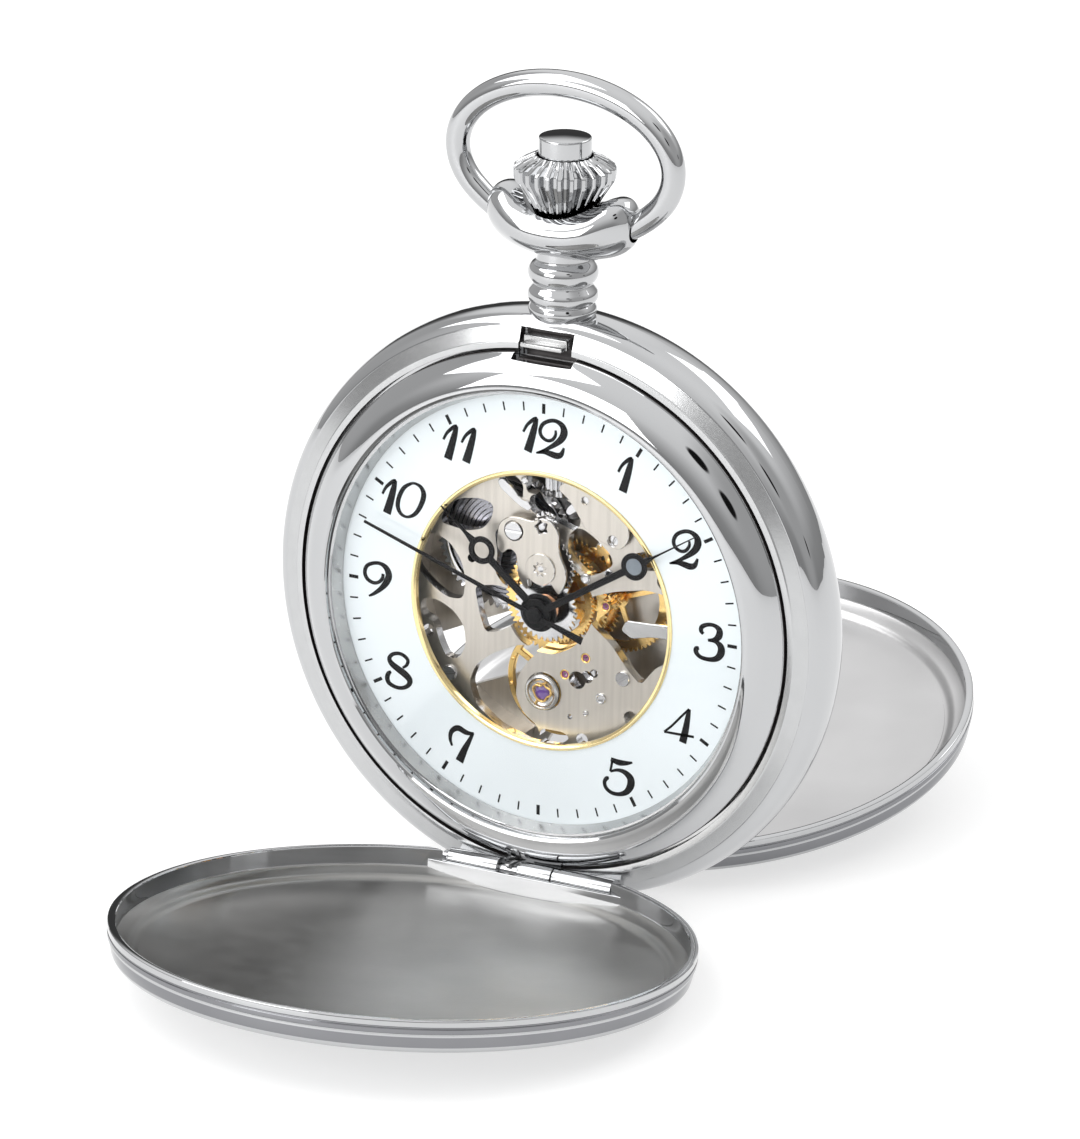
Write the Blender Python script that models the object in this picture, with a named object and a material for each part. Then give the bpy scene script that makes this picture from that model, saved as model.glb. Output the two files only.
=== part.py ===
"""Skeleton pocket watch with a hinged lid on each side, standing upright on the heels of its open
lids. The case frame has X to 3 o'clock, Y to 12 o'clock and Z out of the dial, in millimetres, with
its origin at the dial's centre. An empty turns that frame upright and stands it on z = 0."""
import math
import bmesh
import bpy
from mathutils import Matrix, Vector
from mathutils.geometry import tessellate_polygon

MM = 0.001
PI = math.pi

# Case
MID_Z = -3.0            # middle plane of the case
CASE_R = 24.0           # largest radius of the band
SEAT_R = 21.18          # inner edge of the brushed seat ring
RING_R = 22.89          # outer edge of the brushed seat ring
BEZEL_R = 20.94
BEZEL_IN_R = 18.29
DIAL_SHOW_R = 17.46
BASE_CUT_Y = -22.95     # flat under the hinge
# Lids
LID_R = 22.54
LID_WALL = 0.64
LID_EDGE_Z = -0.05
CHORD_Y = -20.6         # straight wall of the lid at the hinge
HINGE_Y = -21.68
HINGE_Z = 0.83
KNUCKLE_R = 0.88
HINGE_PIN_R = 0.38
HINGE_BORE_R = 0.44
FRONT_OPEN = 84.7       # degrees
REAR_OPEN = 78.8
# Pendant
PIVOT_Y = 30.95
BOW_A = 9.26
BOW_B = 5.90
BOW_C_Y = 35.83
BOW_R = 0.94
# Movement
PLATE_R = 13.5
PLATE_Z = (-2.4, -1.5)
D_THIRD = 4.9
D_ESCAPE = 4.97
BARREL_AT = (-5.0, 4.1)
THIRD_AT = (D_THIRD * math.cos(math.radians(8.6)), D_THIRD * math.sin(math.radians(8.6)))
ESCAPE_AT = (D_ESCAPE * math.cos(math.radians(-50)), D_ESCAPE * math.sin(math.radians(-50)))
BALANCE_AT = (-0.44, -7.2)
PALLET_AT = (1.40, -5.48)
MINUTE_AT = (-0.29, 3.25)
SETTING_AT = (-0.29, 3.25 + 21 * 3.263 / 20)
CROWN_WHEEL_AT = (0.0, 8.4)
SEG = 40

for old in list(bpy.data.objects):
    bpy.data.objects.remove(old, do_unlink=True)

MATERIALS = {}


def material(name, colour, rough, metal):
    if name not in MATERIALS:
        made = bpy.data.materials.new(name)
        made.use_nodes = True
        shader = made.node_tree.nodes["Principled BSDF"]
        shader.inputs["Base Color"].default_value = (*colour, 1.0)
        shader.inputs["Roughness"].default_value = rough
        shader.inputs["Metallic"].default_value = metal
        MATERIALS[name] = made
    return MATERIALS[name]


CHROME = ("polished_case", (0.86, 0.87, 0.88), 0.08, 1.0)
SATIN = ("satin_steel", (0.62, 0.62, 0.63), 0.32, 1.0)
PLATE = ("plate_nickel", (0.66, 0.63, 0.60), 0.36, 1.0)
GOLD = ("gilt_brass", (0.86, 0.57, 0.24), 0.22, 1.0)
COPPER = ("copper_gilt", (0.80, 0.46, 0.28), 0.25, 1.0)
STEEL = ("polished_steel", (0.72, 0.73, 0.75), 0.15, 1.0)
BLUE = ("spring_steel", (0.24, 0.25, 0.29), 0.25, 1.0)
BLACK = ("hand_black", (0.03, 0.03, 0.035), 0.25, 0.4)
PEARL = ("dial_pearl", (0.90, 0.94, 0.95), 0.30, 0.0)
GLASS = ("crystal", (0.95, 0.97, 0.98), 0.02, 0.0)

watch = bpy.data.objects.new("watch", None)
bpy.context.scene.collection.objects.link(watch)
watch.rotation_euler = (PI / 2, 0, 0)


def add(name, bm, look, at=(0, 0, 0), parent=None):
    """Makes an object of a mesh in millimetres whose origin is at a point of the case frame."""
    bmesh.ops.remove_doubles(bm, verts=bm.verts, dist=1e-6)
    bmesh.ops.recalc_face_normals(bm, faces=bm.faces)
    bmesh.ops.transform(bm, matrix=Matrix.Translation(-Vector(at)), verts=bm.verts)
    bmesh.ops.scale(bm, vec=(MM, MM, MM), verts=bm.verts)
    mesh = bpy.data.meshes.new(name)
    bm.to_mesh(mesh)
    bm.free()
    mesh.materials.append(material(*look))
    mesh.shade_smooth()
    mesh.set_sharp_from_angle(angle=math.radians(32))
    obj = bpy.data.objects.new(name, mesh)
    bpy.context.scene.collection.objects.link(obj)
    obj.parent = parent or watch
    obj.location = Vector(at) * MM
    return obj


def circle(radius, count=24, at=(0, 0), start=0.0):
    """Points of a circle, anticlockwise."""
    return [(at[0] + radius * math.cos(start + 2 * PI * k / count),
             at[1] + radius * math.sin(start + 2 * PI * k / count)) for k in range(count)]


def sector(r0, r1, a0, a1, at=(0, 0), steps=6):
    """A ring sector between two angles in degrees, anticlockwise."""
    angles = [math.radians(a0 + (a1 - a0) * k / steps) for k in range(steps + 1)]
    outer = [(at[0] + r1 * math.cos(a), at[1] + r1 * math.sin(a)) for a in angles]
    inner = [(at[0] + r0 * math.cos(a), at[1] + r0 * math.sin(a)) for a in reversed(angles)]
    return outer + inner


def teeth(count, pitch_r, module, at=(0, 0), start=0.0, add_k=0.75, ded_k=1.25):
    """A toothed outline: pointed teeth, one of them centred on the angle start."""
    points = []
    for k in range(count):
        middle = start + 2 * PI * k / count
        for angle, radius in ((middle, pitch_r + add_k * module),
                              (middle + PI / count, pitch_r - ded_k * module)):
            points.append((at[0] + radius * math.cos(angle), at[1] + radius * math.sin(angle)))
    return points


def stack(bm, z0, sections, bore=None):
    """Coaxial prisms on each other, as one closed body. A section is (outline, top z, holes)."""
    bore_loops = [bore] if bore else []

    def verts_at(outline, z):
        return [bm.verts.new((x, y, z)) for x, y in outline]

    def cap(loops, z, cache):
        rows = []
        for loop in loops:
            key = (id(loop), round(z, 5))
            if key not in cache:
                cache[key] = verts_at(loop, z)
            rows.append(cache[key])
        flat = [v for row in rows for v in row]
        vectors = [[Vector((x, y, 0)) for x, y in loop] for loop in loops]
        for tri in tessellate_polygon(vectors):
            bm.faces.new([flat[i] for i in tri])

    cache = {}
    below = None
    z = z0
    for outline, top, holes in sections:
        if below is None:
            cap([outline] + bore_loops + holes, z, cache)
        elif below[0] is not outline:
            big, small = (below, (outline, holes)) if area(below[0]) > area(outline) else (
                (outline, holes), below)
            cap([big[0], small[0]] + big[1], z, cache)
        for loop in [outline] + bore_loops + holes:
            for level in (z, top):
                key = (id(loop), round(level, 5))
                if key not in cache:
                    cache[key] = verts_at(loop, level)
            low = cache[(id(loop), round(z, 5))]
            high = cache[(id(loop), round(top, 5))]
            count = len(loop)
            for k in range(count):
                bm.faces.new((low[k], low[(k + 1) % count], high[(k + 1) % count], high[k]))
        below = (outline, holes)
        z = top
    cap([below[0]] + bore_loops + below[1], z, cache)
    return bm


def area(outline):
    total = 0.0
    for (x0, y0), (x1, y1) in zip(outline, outline[1:] + outline[:1]):
        total += x0 * y1 - x1 * y0
    return abs(total) / 2


def plate(name, outline, z0, z1, look, holes=(), at=(0, 0, 0), parent=None):
    return add(name, stack(bmesh.new(), z0, [(outline, z1, list(holes))]), look, at, parent)


def lathe(profile, count=SEG, at=(0, 0, 0), axis="Z", flute=0.0, first_fluted=0, last_fluted=-1):
    """Turns a closed (radius, height) profile round an axis. A flute cuts every other point."""
    bm = bmesh.new()
    rings = []
    for i, (r, h) in enumerate(profile):
        if r < 1e-6:
            rings.append([bm.verts.new((0, 0, h))])
            continue
        ring = []
        for k in range(count):
            cut = flute if k % 2 and first_fluted <= i <= last_fluted else 0.0
            angle = 2 * PI * k / count
            ring.append(bm.verts.new(((r - cut) * math.cos(angle), (r - cut) * math.sin(angle), h)))
        rings.append(ring)
    for low, high in zip(rings, rings[1:] + rings[:1]):
        if len(low) == 1 and len(high) == 1:
            continue
        for k in range(count):
            n = (k + 1) % count
            if len(low) == 1:
                bm.faces.new((low[0], high[n], high[k]))
            elif len(high) == 1:
                bm.faces.new((low[k], low[n], high[0]))
            else:
                bm.faces.new((low[k], low[n], high[n], high[k]))
    turn = {"Z": Matrix.Identity(4), "Y": Matrix.Rotation(-PI / 2, 4, "X"),
            "X": Matrix.Rotation(PI / 2, 4, "Y")}[axis]
    bmesh.ops.transform(bm, matrix=Matrix.Translation(at) @ turn, verts=bm.verts)
    return bm


def box(x0, x1, y0, y1, z0, z1):
    bm = bmesh.new()
    bmesh.ops.create_cube(bm, size=1)
    bmesh.ops.scale(bm, vec=(x1 - x0, y1 - y0, z1 - z0), verts=bm.verts)
    bmesh.ops.translate(bm, vec=((x0 + x1) / 2, (y0 + y1) / 2, (z0 + z1) / 2), verts=bm.verts)
    return bm


def rod(axis, radius, start, end, at, count=16):
    """A plain cylinder along X or Y between two values, through a point of the case frame."""
    return lathe([(0, start), (radius, start), (radius, end), (0, end)], count, at, axis)


def shaped(obj, steps):
    """Applies unions and cuts, each a pair of an operation and a mesh in the case frame."""
    for operation, bm in steps:
        tool = add("tool", bm, CHROME)
        tool.hide_render = True
        tool.display_type = "WIRE"
        cut = obj.modifiers.new("cut", "BOOLEAN")
        cut.operation = operation
        cut.solver = "EXACT"
        cut.object = tool
        bpy.context.view_layer.update()
        graph = bpy.context.evaluated_depsgraph_get()
        fresh = bpy.data.meshes.new_from_object(obj.evaluated_get(graph))
        obj.modifiers.clear()
        fresh.name = obj.name
        fresh.materials.clear()
        fresh.materials.append(obj.data.materials[0])
        obj.data = fresh
        bpy.data.objects.remove(tool, do_unlink=True)
    obj.data.polygons.foreach_set("material_index", [0] * len(obj.data.polygons))
    obj.data.shade_smooth()
    obj.data.set_sharp_from_angle(angle=math.radians(32))
    return obj


def mirrored(profile):
    """A profile of the front, turned over about the case's middle plane."""
    return [(r, 2 * MID_Z - z) for r, z in profile]


def flip(z, side):
    return z if side > 0 else 2 * MID_Z - z


def span(z0, z1, side):
    low, high = flip(z0, side), flip(z1, side)
    return (low, high) if low < high else (high, low)


# ---------------------------------------------------------------- case middle
front = [(19.65, -0.9), (SEAT_R, -0.9), (SEAT_R, -0.02), (21.72, -0.08), (21.80, -0.20),
         (RING_R, -0.58), (23.5, -1.0), (23.86, -1.8)]
band = add("case_band", lathe(front + [(CASE_R, MID_Z)] + mirrored(front)[::-1]), CHROME)
steps = [("DIFFERENCE", box(-30, 30, -30, BASE_CUT_Y, -20, 20))]
for side in (1, -1):
    z0, z1 = span(-0.75, 4.0, side)
    steps.append(("DIFFERENCE", box(-2.78, 1.98, -24, -20.9, z0, z1)))
    steps.append(("DIFFERENCE", box(-2.3, 2.3, 20.4, 22.72, *span(-1.4, 4.0, side)) if side > 0
                  else box(-1.2, 1.2, 20.9, 21.6, *span(-0.7, 4.0, side))))
    for x0, x1 in ((-7.2, -2.8), (2.0, 7.2)):
        steps.append(("UNION", rod("X", KNUCKLE_R, x0, x1, (0, HINGE_Y, flip(HINGE_Z, side)))))
        steps.append(("UNION", box(x0 + 0.1, x1 - 0.1, -22.3, -21.25, *span(-1.2, 0.5, side))))
    steps.append(("DIFFERENCE", rod("X", HINGE_BORE_R, -8.5, 8.5, (0, HINGE_Y, flip(HINGE_Z, side)))))
steps.append(("DIFFERENCE", rod("Y", 1.3, 18.0, 26.0, (0, 0, MID_Z), 24)))
shaped(band, steps)

# ---------------------------------------------------------------- bezels and crystals
BEZEL = [(DIAL_SHOW_R, 0.05), (19.6, 0.05), (19.6, -0.8), (BEZEL_R, -0.8), (BEZEL_R, 0.0),
         (20.4, 0.68), (19.4, 1.5), (BEZEL_IN_R, 1.82), (18.12, 1.72), (18.12, 1.18),
         (17.85, 1.15)]
bezel = add("front_bezel", lathe(BEZEL), CHROME)
shaped(bezel, [("DIFFERENCE", box(-2.6, 2.6, 20.3, 22, -1.0, 3))])
add("rear_bezel", lathe(mirrored(BEZEL)), CHROME)
LENS = [(0, 1.95), (10, 1.62), (18.07, 1.22), (18.07, 1.62), (10, 2.25), (0, 2.6)]
add("front_crystal", lathe(LENS), GLASS)
add("rear_crystal", lathe(mirrored(LENS)), GLASS)

# ---------------------------------------------------------------- lids
LID = [(0, 3.1), (14, 2.75), (20.2, 2.32), (20.7, 2.0), (LID_R - LID_WALL, 1.6),
       (LID_R - LID_WALL, LID_EDGE_Z), (LID_R, LID_EDGE_Z), (LID_R, 0.95), (22.38, 1.05),
       (22.2, 2.25), (21.7, 2.62), (14, 3.38), (0, 3.75)]


def lid(name, side, opened):
    profile = LID if side > 0 else mirrored(LID)
    pin = (0, HINGE_Y, flip(HINGE_Z, side))
    cover = add(name, lathe(profile), CHROME)
    shaped(cover, [
        ("DIFFERENCE", box(-30, 30, -30, CHORD_Y, -20, 20)),
        ("UNION", box(-9.0, 9.0, CHORD_Y, CHORD_Y + 0.42, *span(0.75, 2.7, side))),
        ("UNION", rod("X", KNUCKLE_R, -1.05, 1.9, pin)),
        ("UNION", box(-1.0, 1.85, HINGE_Y - 0.2, CHORD_Y + 0.3, *span(1.0, 1.68, side))),
        ("DIFFERENCE", rod("X", HINGE_BORE_R, -3, 3, pin)),
    ])
    cover.data.transform(Matrix.Translation(-Vector(pin) * MM))
    cover.location = Vector(pin) * MM
    cover.rotation_euler = (side * math.radians(opened), 0, 0)
    return cover


lid("front_lid", 1, FRONT_OPEN)
lid("rear_lid", -1, REAR_OPEN)
for name, side in (("front", 1), ("rear", -1)):
    z = flip(HINGE_Z, side)
    add(f"{name}_hinge_pin", lathe([(0, -7.75), (0.6, -7.75), (0.6, -7.3), (HINGE_PIN_R, -7.3),
                                    (HINGE_PIN_R, 7.3), (0.6, 7.3), (0.6, 7.75), (0, 7.75)],
                                   16, (0, HINGE_Y, z), "X"), STEEL)
    tongue = [(-2.65, -21.28), (-1.3, -21.28), (-1.3, -21.02), (-2.65, -21.02)]
    z0, z1 = span(-0.68, 1.35, side)
    spring = add(f"{name}_lift_spring", stack(bmesh.new(), z0, [(tongue, z1, [])]), SATIN)
    for vertex in spring.data.vertices:
        x, y, height = vertex.co / MM
        if (height > 0) if side > 0 else (height < 2 * MID_Z):
            vertex.co.x = (-2.25 if x < -2 else -1.75) * MM

# ---------------------------------------------------------------- catch
add("front_catch", stack(bmesh.new(), -1.3, [
    ([(-2.1, 21.25), (2.1, 21.25), (2.1, 22.6), (-2.1, 22.6)], -0.3, []),
    ([(-1.9, 21.3), (1.9, 21.3), (1.9, 21.75), (-1.9, 21.75)], 0.6, [])]), SATIN,
    (0, 21.9, -0.8))

# ---------------------------------------------------------------- pendant
NECK = [(0.8, 20.3), (1.2, 20.3), (1.2, 24.06), (3.1, 24.06), (2.45, 24.45), (2.7, 24.9),
        (2.6, 25.5), (2.35, 25.95), (2.65, 26.5), (2.7, 27.1), (2.1, 27.85), (2.1, 28.1),
        (0.8, 28.1)]
add("pendant_neck", lathe(NECK, 20, (0, 0, MID_Z), "Y"), CHROME)


def yoke():
    """A boat-shaped collar along X, from cross-sections with eight corners."""
    rows = []
    stations = [(-6.15, 29.75, 1.15, 32.1), (-5.2, 29.35, 1.65, 32.3), (-3.8, 28.75, 2.3, 31.5),
                (-2.4, 28.3, 2.75, 30.3), (0, 28.15, 2.95, 29.9)]
    stations += [(-x, b, w, t) for x, b, w, t in reversed(stations[:-1])]
    bm = bmesh.new()
    for x, bottom, half, top in stations:
        ring = []
        for dz, level in ((-0.55, 0), (0.55, 0), (1, 0.35), (1, 0.72), (0.72, 1), (-0.72, 1),
                          (-1, 0.72), (-1, 0.35)):
            ring.append(bm.verts.new((x, bottom + level * (top - bottom), MID_Z + dz * half)))
        rows.append(ring)
    for low, high in zip(rows, rows[1:]):
        for k in range(8):
            bm.faces.new((low[k], low[(k + 1) % 8], high[(k + 1) % 8], high[k]))
    bm.faces.new(rows[0])
    bm.faces.new(rows[-1])
    return bm


collar = add("pendant_yoke", yoke(), CHROME)
shaped(collar, [
    ("DIFFERENCE", rod("Y", 0.8, 26.0, 33.0, (0, 0, MID_Z), 24)),
    ("DIFFERENCE", lathe([(0, 29.6), (2.5, 29.6), (4.4, 33.0), (0, 33.0)], 32, (0, 0, MID_Z), "Y")),
    ("DIFFERENCE", rod("X", 0.9, 4.9, 7.0, (0, PIVOT_Y, MID_Z), 16)),
    ("DIFFERENCE", rod("X", 0.9, -7.0, -4.9, (0, PIVOT_Y, MID_Z), 16)),
])


def bow():
    """A wide oval ring whose two ends turn in to the pivot axis."""
    path = [(5.1, PIVOT_Y, 0.8), (6.3, PIVOT_Y, 0.8), (6.75, PIVOT_Y + 0.12, 0.88)]
    start, steps = math.radians(-40), 24
    for k in range(steps + 1):
        a = start + (PI - 2 * start) * k / steps
        radius = BOW_R + 0.12 * max(0.0, math.sin(a))
        path.append((BOW_A * math.cos(a), BOW_C_Y + BOW_B * math.sin(a), radius))
    path += [(-x, y, r) for x, y, r in reversed(path[:3])]
    bm = bmesh.new()
    rings = []
    for k, (x, y, r) in enumerate(path):
        before = Vector(path[max(0, k - 1)][:2])
        after = Vector(path[min(len(path) - 1, k + 1)][:2])
        along = (after - before).normalized()
        if k in (0, 1):
            along = Vector((1, 0))
        if k in (len(path) - 1, len(path) - 2):
            along = Vector((1, 0))
        side = Vector((-along.y, along.x))
        ring = []
        for j in range(8):
            t = 2 * PI * j / 8
            ring.append(bm.verts.new((x + side.x * r * math.cos(t), y + side.y * r * math.cos(t),
                                      MID_Z + r * math.sin(t))))
        rings.append(ring)
    for low, high in zip(rings, rings[1:]):
        for j in range(8):
            bm.faces.new((low[j], low[(j + 1) % 8], high[(j + 1) % 8], high[j]))
    bm.faces.new(rings[0])
    bm.faces.new(rings[-1])
    return bm


add("bow", bow(), CHROME, (0, PIVOT_Y, MID_Z))

# ---------------------------------------------------------------- crown and stem
CROWN = [(0.62, 30.35), (1.85, 30.35), (2.3, 31.8), (3.96, 34.95), (3.96, 35.9), (2.42, 36.65),
         (2.2, 36.55), (2.2, 35.3), (0, 35.3), (0, 34.4), (0.62, 34.4)]
add("crown", lathe(CROWN, 32, (0, 0, MID_Z), "Y", 0.35, 2, 4), CHROME, (0, 32, MID_Z))
add("release_button", lathe([(0, 35.9), (2.06, 35.9), (2.06, 37.3), (1.9, 37.5), (0, 37.5)], 24,
                            (0, 0, MID_Z), "Y"), CHROME, (0, 36, MID_Z))
add("winding_stem", rod("Y", 0.55, 8.5, 33.2, (0, 0, MID_Z), 12), STEEL, (0, 12, MID_Z))


def pinion_on_stem(name, count, outer, depth, y0, y1, look):
    outline = teeth(count, outer - 0.75 * depth / 2, depth / 2)
    bm = stack(bmesh.new(), y0, [(outline, y1, [])], circle(0.62, 12))
    bmesh.ops.transform(bm, matrix=Matrix.Translation((0, 0, MID_Z)) @ Matrix.Rotation(-PI / 2, 4, "X"),
                        verts=bm.verts)
    return add(name, bm, look, (0, (y0 + y1) / 2, MID_Z))


pinion_on_stem("sliding_clutch", 14, 1.15, 0.3, 9.2, 10.5, STEEL)
pinion_on_stem("winding_pinion", 12, 1.55, 0.4, 10.75, 12.1, STEEL)

# ---------------------------------------------------------------- dial and hands
plate("dial", circle(18.8, SEG), -0.4, 0.0, PEARL, [circle(11.25, SEG)])
add("dial_opening_ring", lathe([(10.85, -0.4), (11.2, -0.4), (11.2, 0.04), (11.5, 0.04),
                                (11.45, 0.2), (10.85, 0.2)]), GOLD)
add("movement_ring", lathe([(13.7, -2.35), (19.4, -2.35), (19.4, -0.45), (13.7, -0.45)]), SATIN)


def hand(name, degrees, reach, ring_at, ring_r, hub, hub_bore, z0, z1, width, hollow=True):
    """A slim hand with a round eye near its tip, pointing the given way from 12 o'clock."""
    w = width / 2
    eye = [(ring_r * math.cos(a), ring_at + ring_r * math.sin(a)) for a in
           [math.radians(-75 + 150 * k / 8) for k in range(9)]]
    right = [(w, 0.95 * hub)] + eye + [(0.28 * w, ring_at + ring_r + 1.4)]
    outline = [(0, reach)] + [(-x, y) for x, y in reversed(right)]
    around = [(hub * math.cos(a), hub * math.sin(a)) for a in
              [math.radians(110 + 320 * k / 16) for k in range(17)]]
    outline = outline + around + right
    turn = math.radians(-degrees)
    c, s = math.cos(turn), math.sin(turn)

    def turned(points):
        return [(x * c - y * s, x * s + y * c) for x, y in points]

    holes = [circle(hub_bore, 12)]
    if hollow:
        holes.append(turned(circle(ring_r * 0.62, 12, (0, ring_at))))
    return plate(name, turned(outline), z0, z1, BLACK, holes)


hand("hour_hand", 310.2, 9.4, 6.6, 1.12, 1.55, 0.88, 0.32, 0.52, 0.62)
hand("minute_hand", 57.6, 14.6, 10.5, 1.1, 1.2, 0.58, 0.72, 0.9, 0.55)
turn = math.radians(-289)
needle = [(-0.17, 0.55), (-0.09, 15.5), (0.09, 15.5), (0.17, 0.55)]
hub_arc = [(0.62 * math.cos(a), 0.62 * math.sin(a)) for a in
           [math.radians(70 - 140 * k / 6) for k in range(7)]]
tail = [(0.16, -0.6), (0.3, -4.4), (-0.3, -4.4), (-0.16, -0.6)]
left_arc = [(-x, y) for x, y in reversed(hub_arc)]
outline = needle + hub_arc + tail + left_arc
outline = [(x * math.cos(turn) - y * math.sin(turn), x * math.sin(turn) + y * math.cos(turn))
           for x, y in outline]
plate("seconds_hand", outline, 1.06, 1.2, BLACK, [circle(0.24, 10)])

# ---------------------------------------------------------------- gears
def heading(start, end):
    return math.atan2(end[1] - start[1], end[0] - start[0])


def distance(start, end):
    return math.hypot(end[0] - start[0], end[1] - start[1])


def geared(start_a, count_a, at_a, count_b, at_b):
    """The angle of a tooth of gear b, so that its gap meets a tooth of gear a."""
    way = heading(at_a, at_b)
    pitch = 2 * PI / count_a
    off = (start_a - way + pitch / 2) % pitch - pitch / 2
    return way + PI + PI / count_b - off * count_a / count_b


def pair(count_a, at_a, count_b, at_b, start_a=None):
    """Outlines of two gears in mesh, and the angle of the first one's tooth."""
    module = 2 * distance(at_a, at_b) / (count_a + count_b)
    first = heading(at_a, at_b) if start_a is None else start_a
    second = geared(first, count_a, at_a, count_b, at_b)
    return (teeth(count_a, module * count_a / 2, module, at_a, first),
            teeth(count_b, module * count_b / 2, module, at_b, second), first, second)


def hull(points):
    """The convex outline round a set of points, anticlockwise."""
    ordered = sorted(set(points))

    def half(row):
        kept = []
        for p in row:
            while len(kept) > 1 and ((kept[-1][0] - kept[-2][0]) * (p[1] - kept[-2][1])
                                     - (kept[-1][1] - kept[-2][1]) * (p[0] - kept[-2][0])) <= 1e-9:
                kept.pop()
            kept.append(p)
        return kept[:-1]

    return half(ordered) + half(ordered[::-1])


def arbor(radius, at, count=8):
    return circle(radius, count, at)


def turning(name, look, at, z0, sections, bore=None):
    return add(name, stack(bmesh.new(), z0, sections, bore), look, (at[0], at[1], z0))


def spokes(at, r0, r1, count, gap, steps=3):
    pitch = 360 / count
    return [sector(r0, r1, k * pitch + gap / 2, (k + 1) * pitch - gap / 2, at, steps)
            for k in range(count)]


O = (0.0, 0.0)
centre_teeth, third_leaves, _, _ = pair(64, O, 8, THIRD_AT)
third_teeth, fourth_leaves, _, _ = pair(60, THIRD_AT, 8, O)
fourth_teeth, escape_leaves, _, _ = pair(60, O, 6, ESCAPE_AT)
barrel_teeth, centre_leaves, _, _ = pair(64, BARREL_AT, 8, O)
cannon_leaves, minute_teeth, _, minute_start = pair(10, O, 30, MINUTE_AT)
minute_leaves, hour_teeth, _, _ = pair(8, MINUTE_AT, 32, O)
_, setting_teeth, _, _ = pair(30, MINUTE_AT, 12, SETTING_AT, minute_start)
ratchet_teeth, crown_teeth, _, _ = pair(36, BARREL_AT, 24, CROWN_WHEEL_AT)

# Motion work on the dial side
turning("cannon_pinion", STEEL, O, -1.42, [(cannon_leaves, -1.02, []), (arbor(0.54, O, 12), 0.95, [])],
        circle(0.44, 12))
turning("hour_wheel", STEEL, O, -0.96, [(hour_teeth, -0.75, []), (arbor(0.84, O, 12), 0.56, [])],
        circle(0.64, 12))
turning("minute_wheel", GOLD, MINUTE_AT, -1.46, [
    (arbor(0.3, MINUTE_AT), -1.4, []), (minute_teeth, -1.15, []), (minute_leaves, -0.75, []),
    (arbor(0.28, MINUTE_AT), -0.5, [])])
turning("setting_wheel", STEEL, SETTING_AT, -1.46, [
    (arbor(0.4, SETTING_AT), -1.4, []), (setting_teeth, -1.15, []), (arbor(0.3, SETTING_AT), -0.5, [])])
post = (-2.7, 6.0)
bridge = hull(circle(1.0, 20, post) + circle(1.0, 16, (1.7, 5.9)) + circle(1.15, 20, MINUTE_AT)
              + circle(0.9, 12, SETTING_AT))
add("minute_work_bridge", stack(bmesh.new(), -1.47, [
    (circle(0.78, 16, post), -0.7, []),
    (bridge, -0.45, [circle(0.38, 12, MINUTE_AT), circle(0.4, 12, SETTING_AT)])]), SATIN)


def screw(name, at, radius, z0, height=0.26):
    head = add(name, stack(bmesh.new(), z0, [(circle(radius, 14, at), z0 + height, [])]), STEEL)
    x, y = at
    return shaped(head, [("DIFFERENCE", box(x - 2, x + 2, y - 0.11, y + 0.11, z0 + 0.12, z0 + 1))])


screw("minute_bridge_screw", post, 0.73, -0.42)
for number, at in enumerate([(6.5, -4.9), (-8.7, -7.1), (5.64, 6.4)], 1):
    screw(f"plate_screw_{number}", at, 0.64, -1.47)
lever = hull(circle(0.6, 14, (3.2, 9.3)) + circle(0.34, 10, (1.75, 8.1)))
plate("setting_lever", lever, -1.42, -1.18, SATIN, [], (3.2, 9.3, -1.3))

# Main plate
windows = [sector(1.9, 4.6, 100, 250, BALANCE_AT, 12), sector(3.2, 12.2, 160, 200),
           sector(3.4, 12.2, 128, 152), sector(3.2, 12.2, 18, 44), sector(2.6, 12.0, -32, 2),
           [(-1.8, 8.45), (1.6, 8.45), (1.6, 12.6), (-1.8, 12.6)]]
bearings = [circle(0.28, 8, at) for at in (THIRD_AT, ESCAPE_AT, PALLET_AT)]
plate("main_plate", circle(PLATE_R, SEG), *PLATE_Z, PLATE,
      windows + bearings + [circle(0.6, 16), circle(0.35, 12, BALANCE_AT)])
add("balance_jewel_setting", lathe([(0.45, -1.46), (1.45, -1.46), (1.45, -1.05), (1.2, -0.95),
                                    (1.0, -1.2), (0.45, -1.2)], 16, (*BALANCE_AT, 0)), STEEL)

# Train
turning("centre_wheel", GOLD, O, -3.65, [
    (centre_leaves, -3.1, []), (arbor(0.42, O, 12), -2.95, []),
    (centre_teeth, -2.7, spokes(O, 1.2, 3.7, 4, 16)), (arbor(0.4, O, 12), 0.28, [])], circle(0.27, 8))
turning("third_wheel", GOLD, THIRD_AT, -5.4, [
    (arbor(0.2, THIRD_AT), -4.05, []), (third_teeth, -3.85, spokes(THIRD_AT, 1.0, 3.6, 4, 16)),
    (arbor(0.2, THIRD_AT), -3.05, []), (third_leaves, -2.62, []), (arbor(0.2, THIRD_AT), -1.7, [])])
turning("fourth_wheel", GOLD, O, -5.4, [
    (arbor(0.2, O), -4.75, []), (fourth_teeth, -4.55, spokes(O, 1.0, 3.8, 4, 16)),
    (arbor(0.3, O), -4.15, []), (fourth_leaves, -3.78, []), (arbor(0.19, O), 1.3, [])])
club = []
for k in range(15):
    for degrees, radius in ((0, 1.95), (1.6, 1.92), (5, 1.42), (20, 1.42)):
        a = math.radians(24 * k + degrees + 7)
        club.append((ESCAPE_AT[0] + radius * math.cos(a), ESCAPE_AT[1] + radius * math.sin(a)))
turning("escape_wheel", STEEL, ESCAPE_AT, -5.4, [
    (arbor(0.2, ESCAPE_AT), -4.85, []), (escape_leaves, -4.45, []), (arbor(0.2, ESCAPE_AT), -3.3, []),
    (club, -3.1, spokes(ESCAPE_AT, 0.5, 1.15, 4, 24, 2)), (arbor(0.2, ESCAPE_AT), -1.7, [])])
way = heading(PALLET_AT, ESCAPE_AT)
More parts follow.
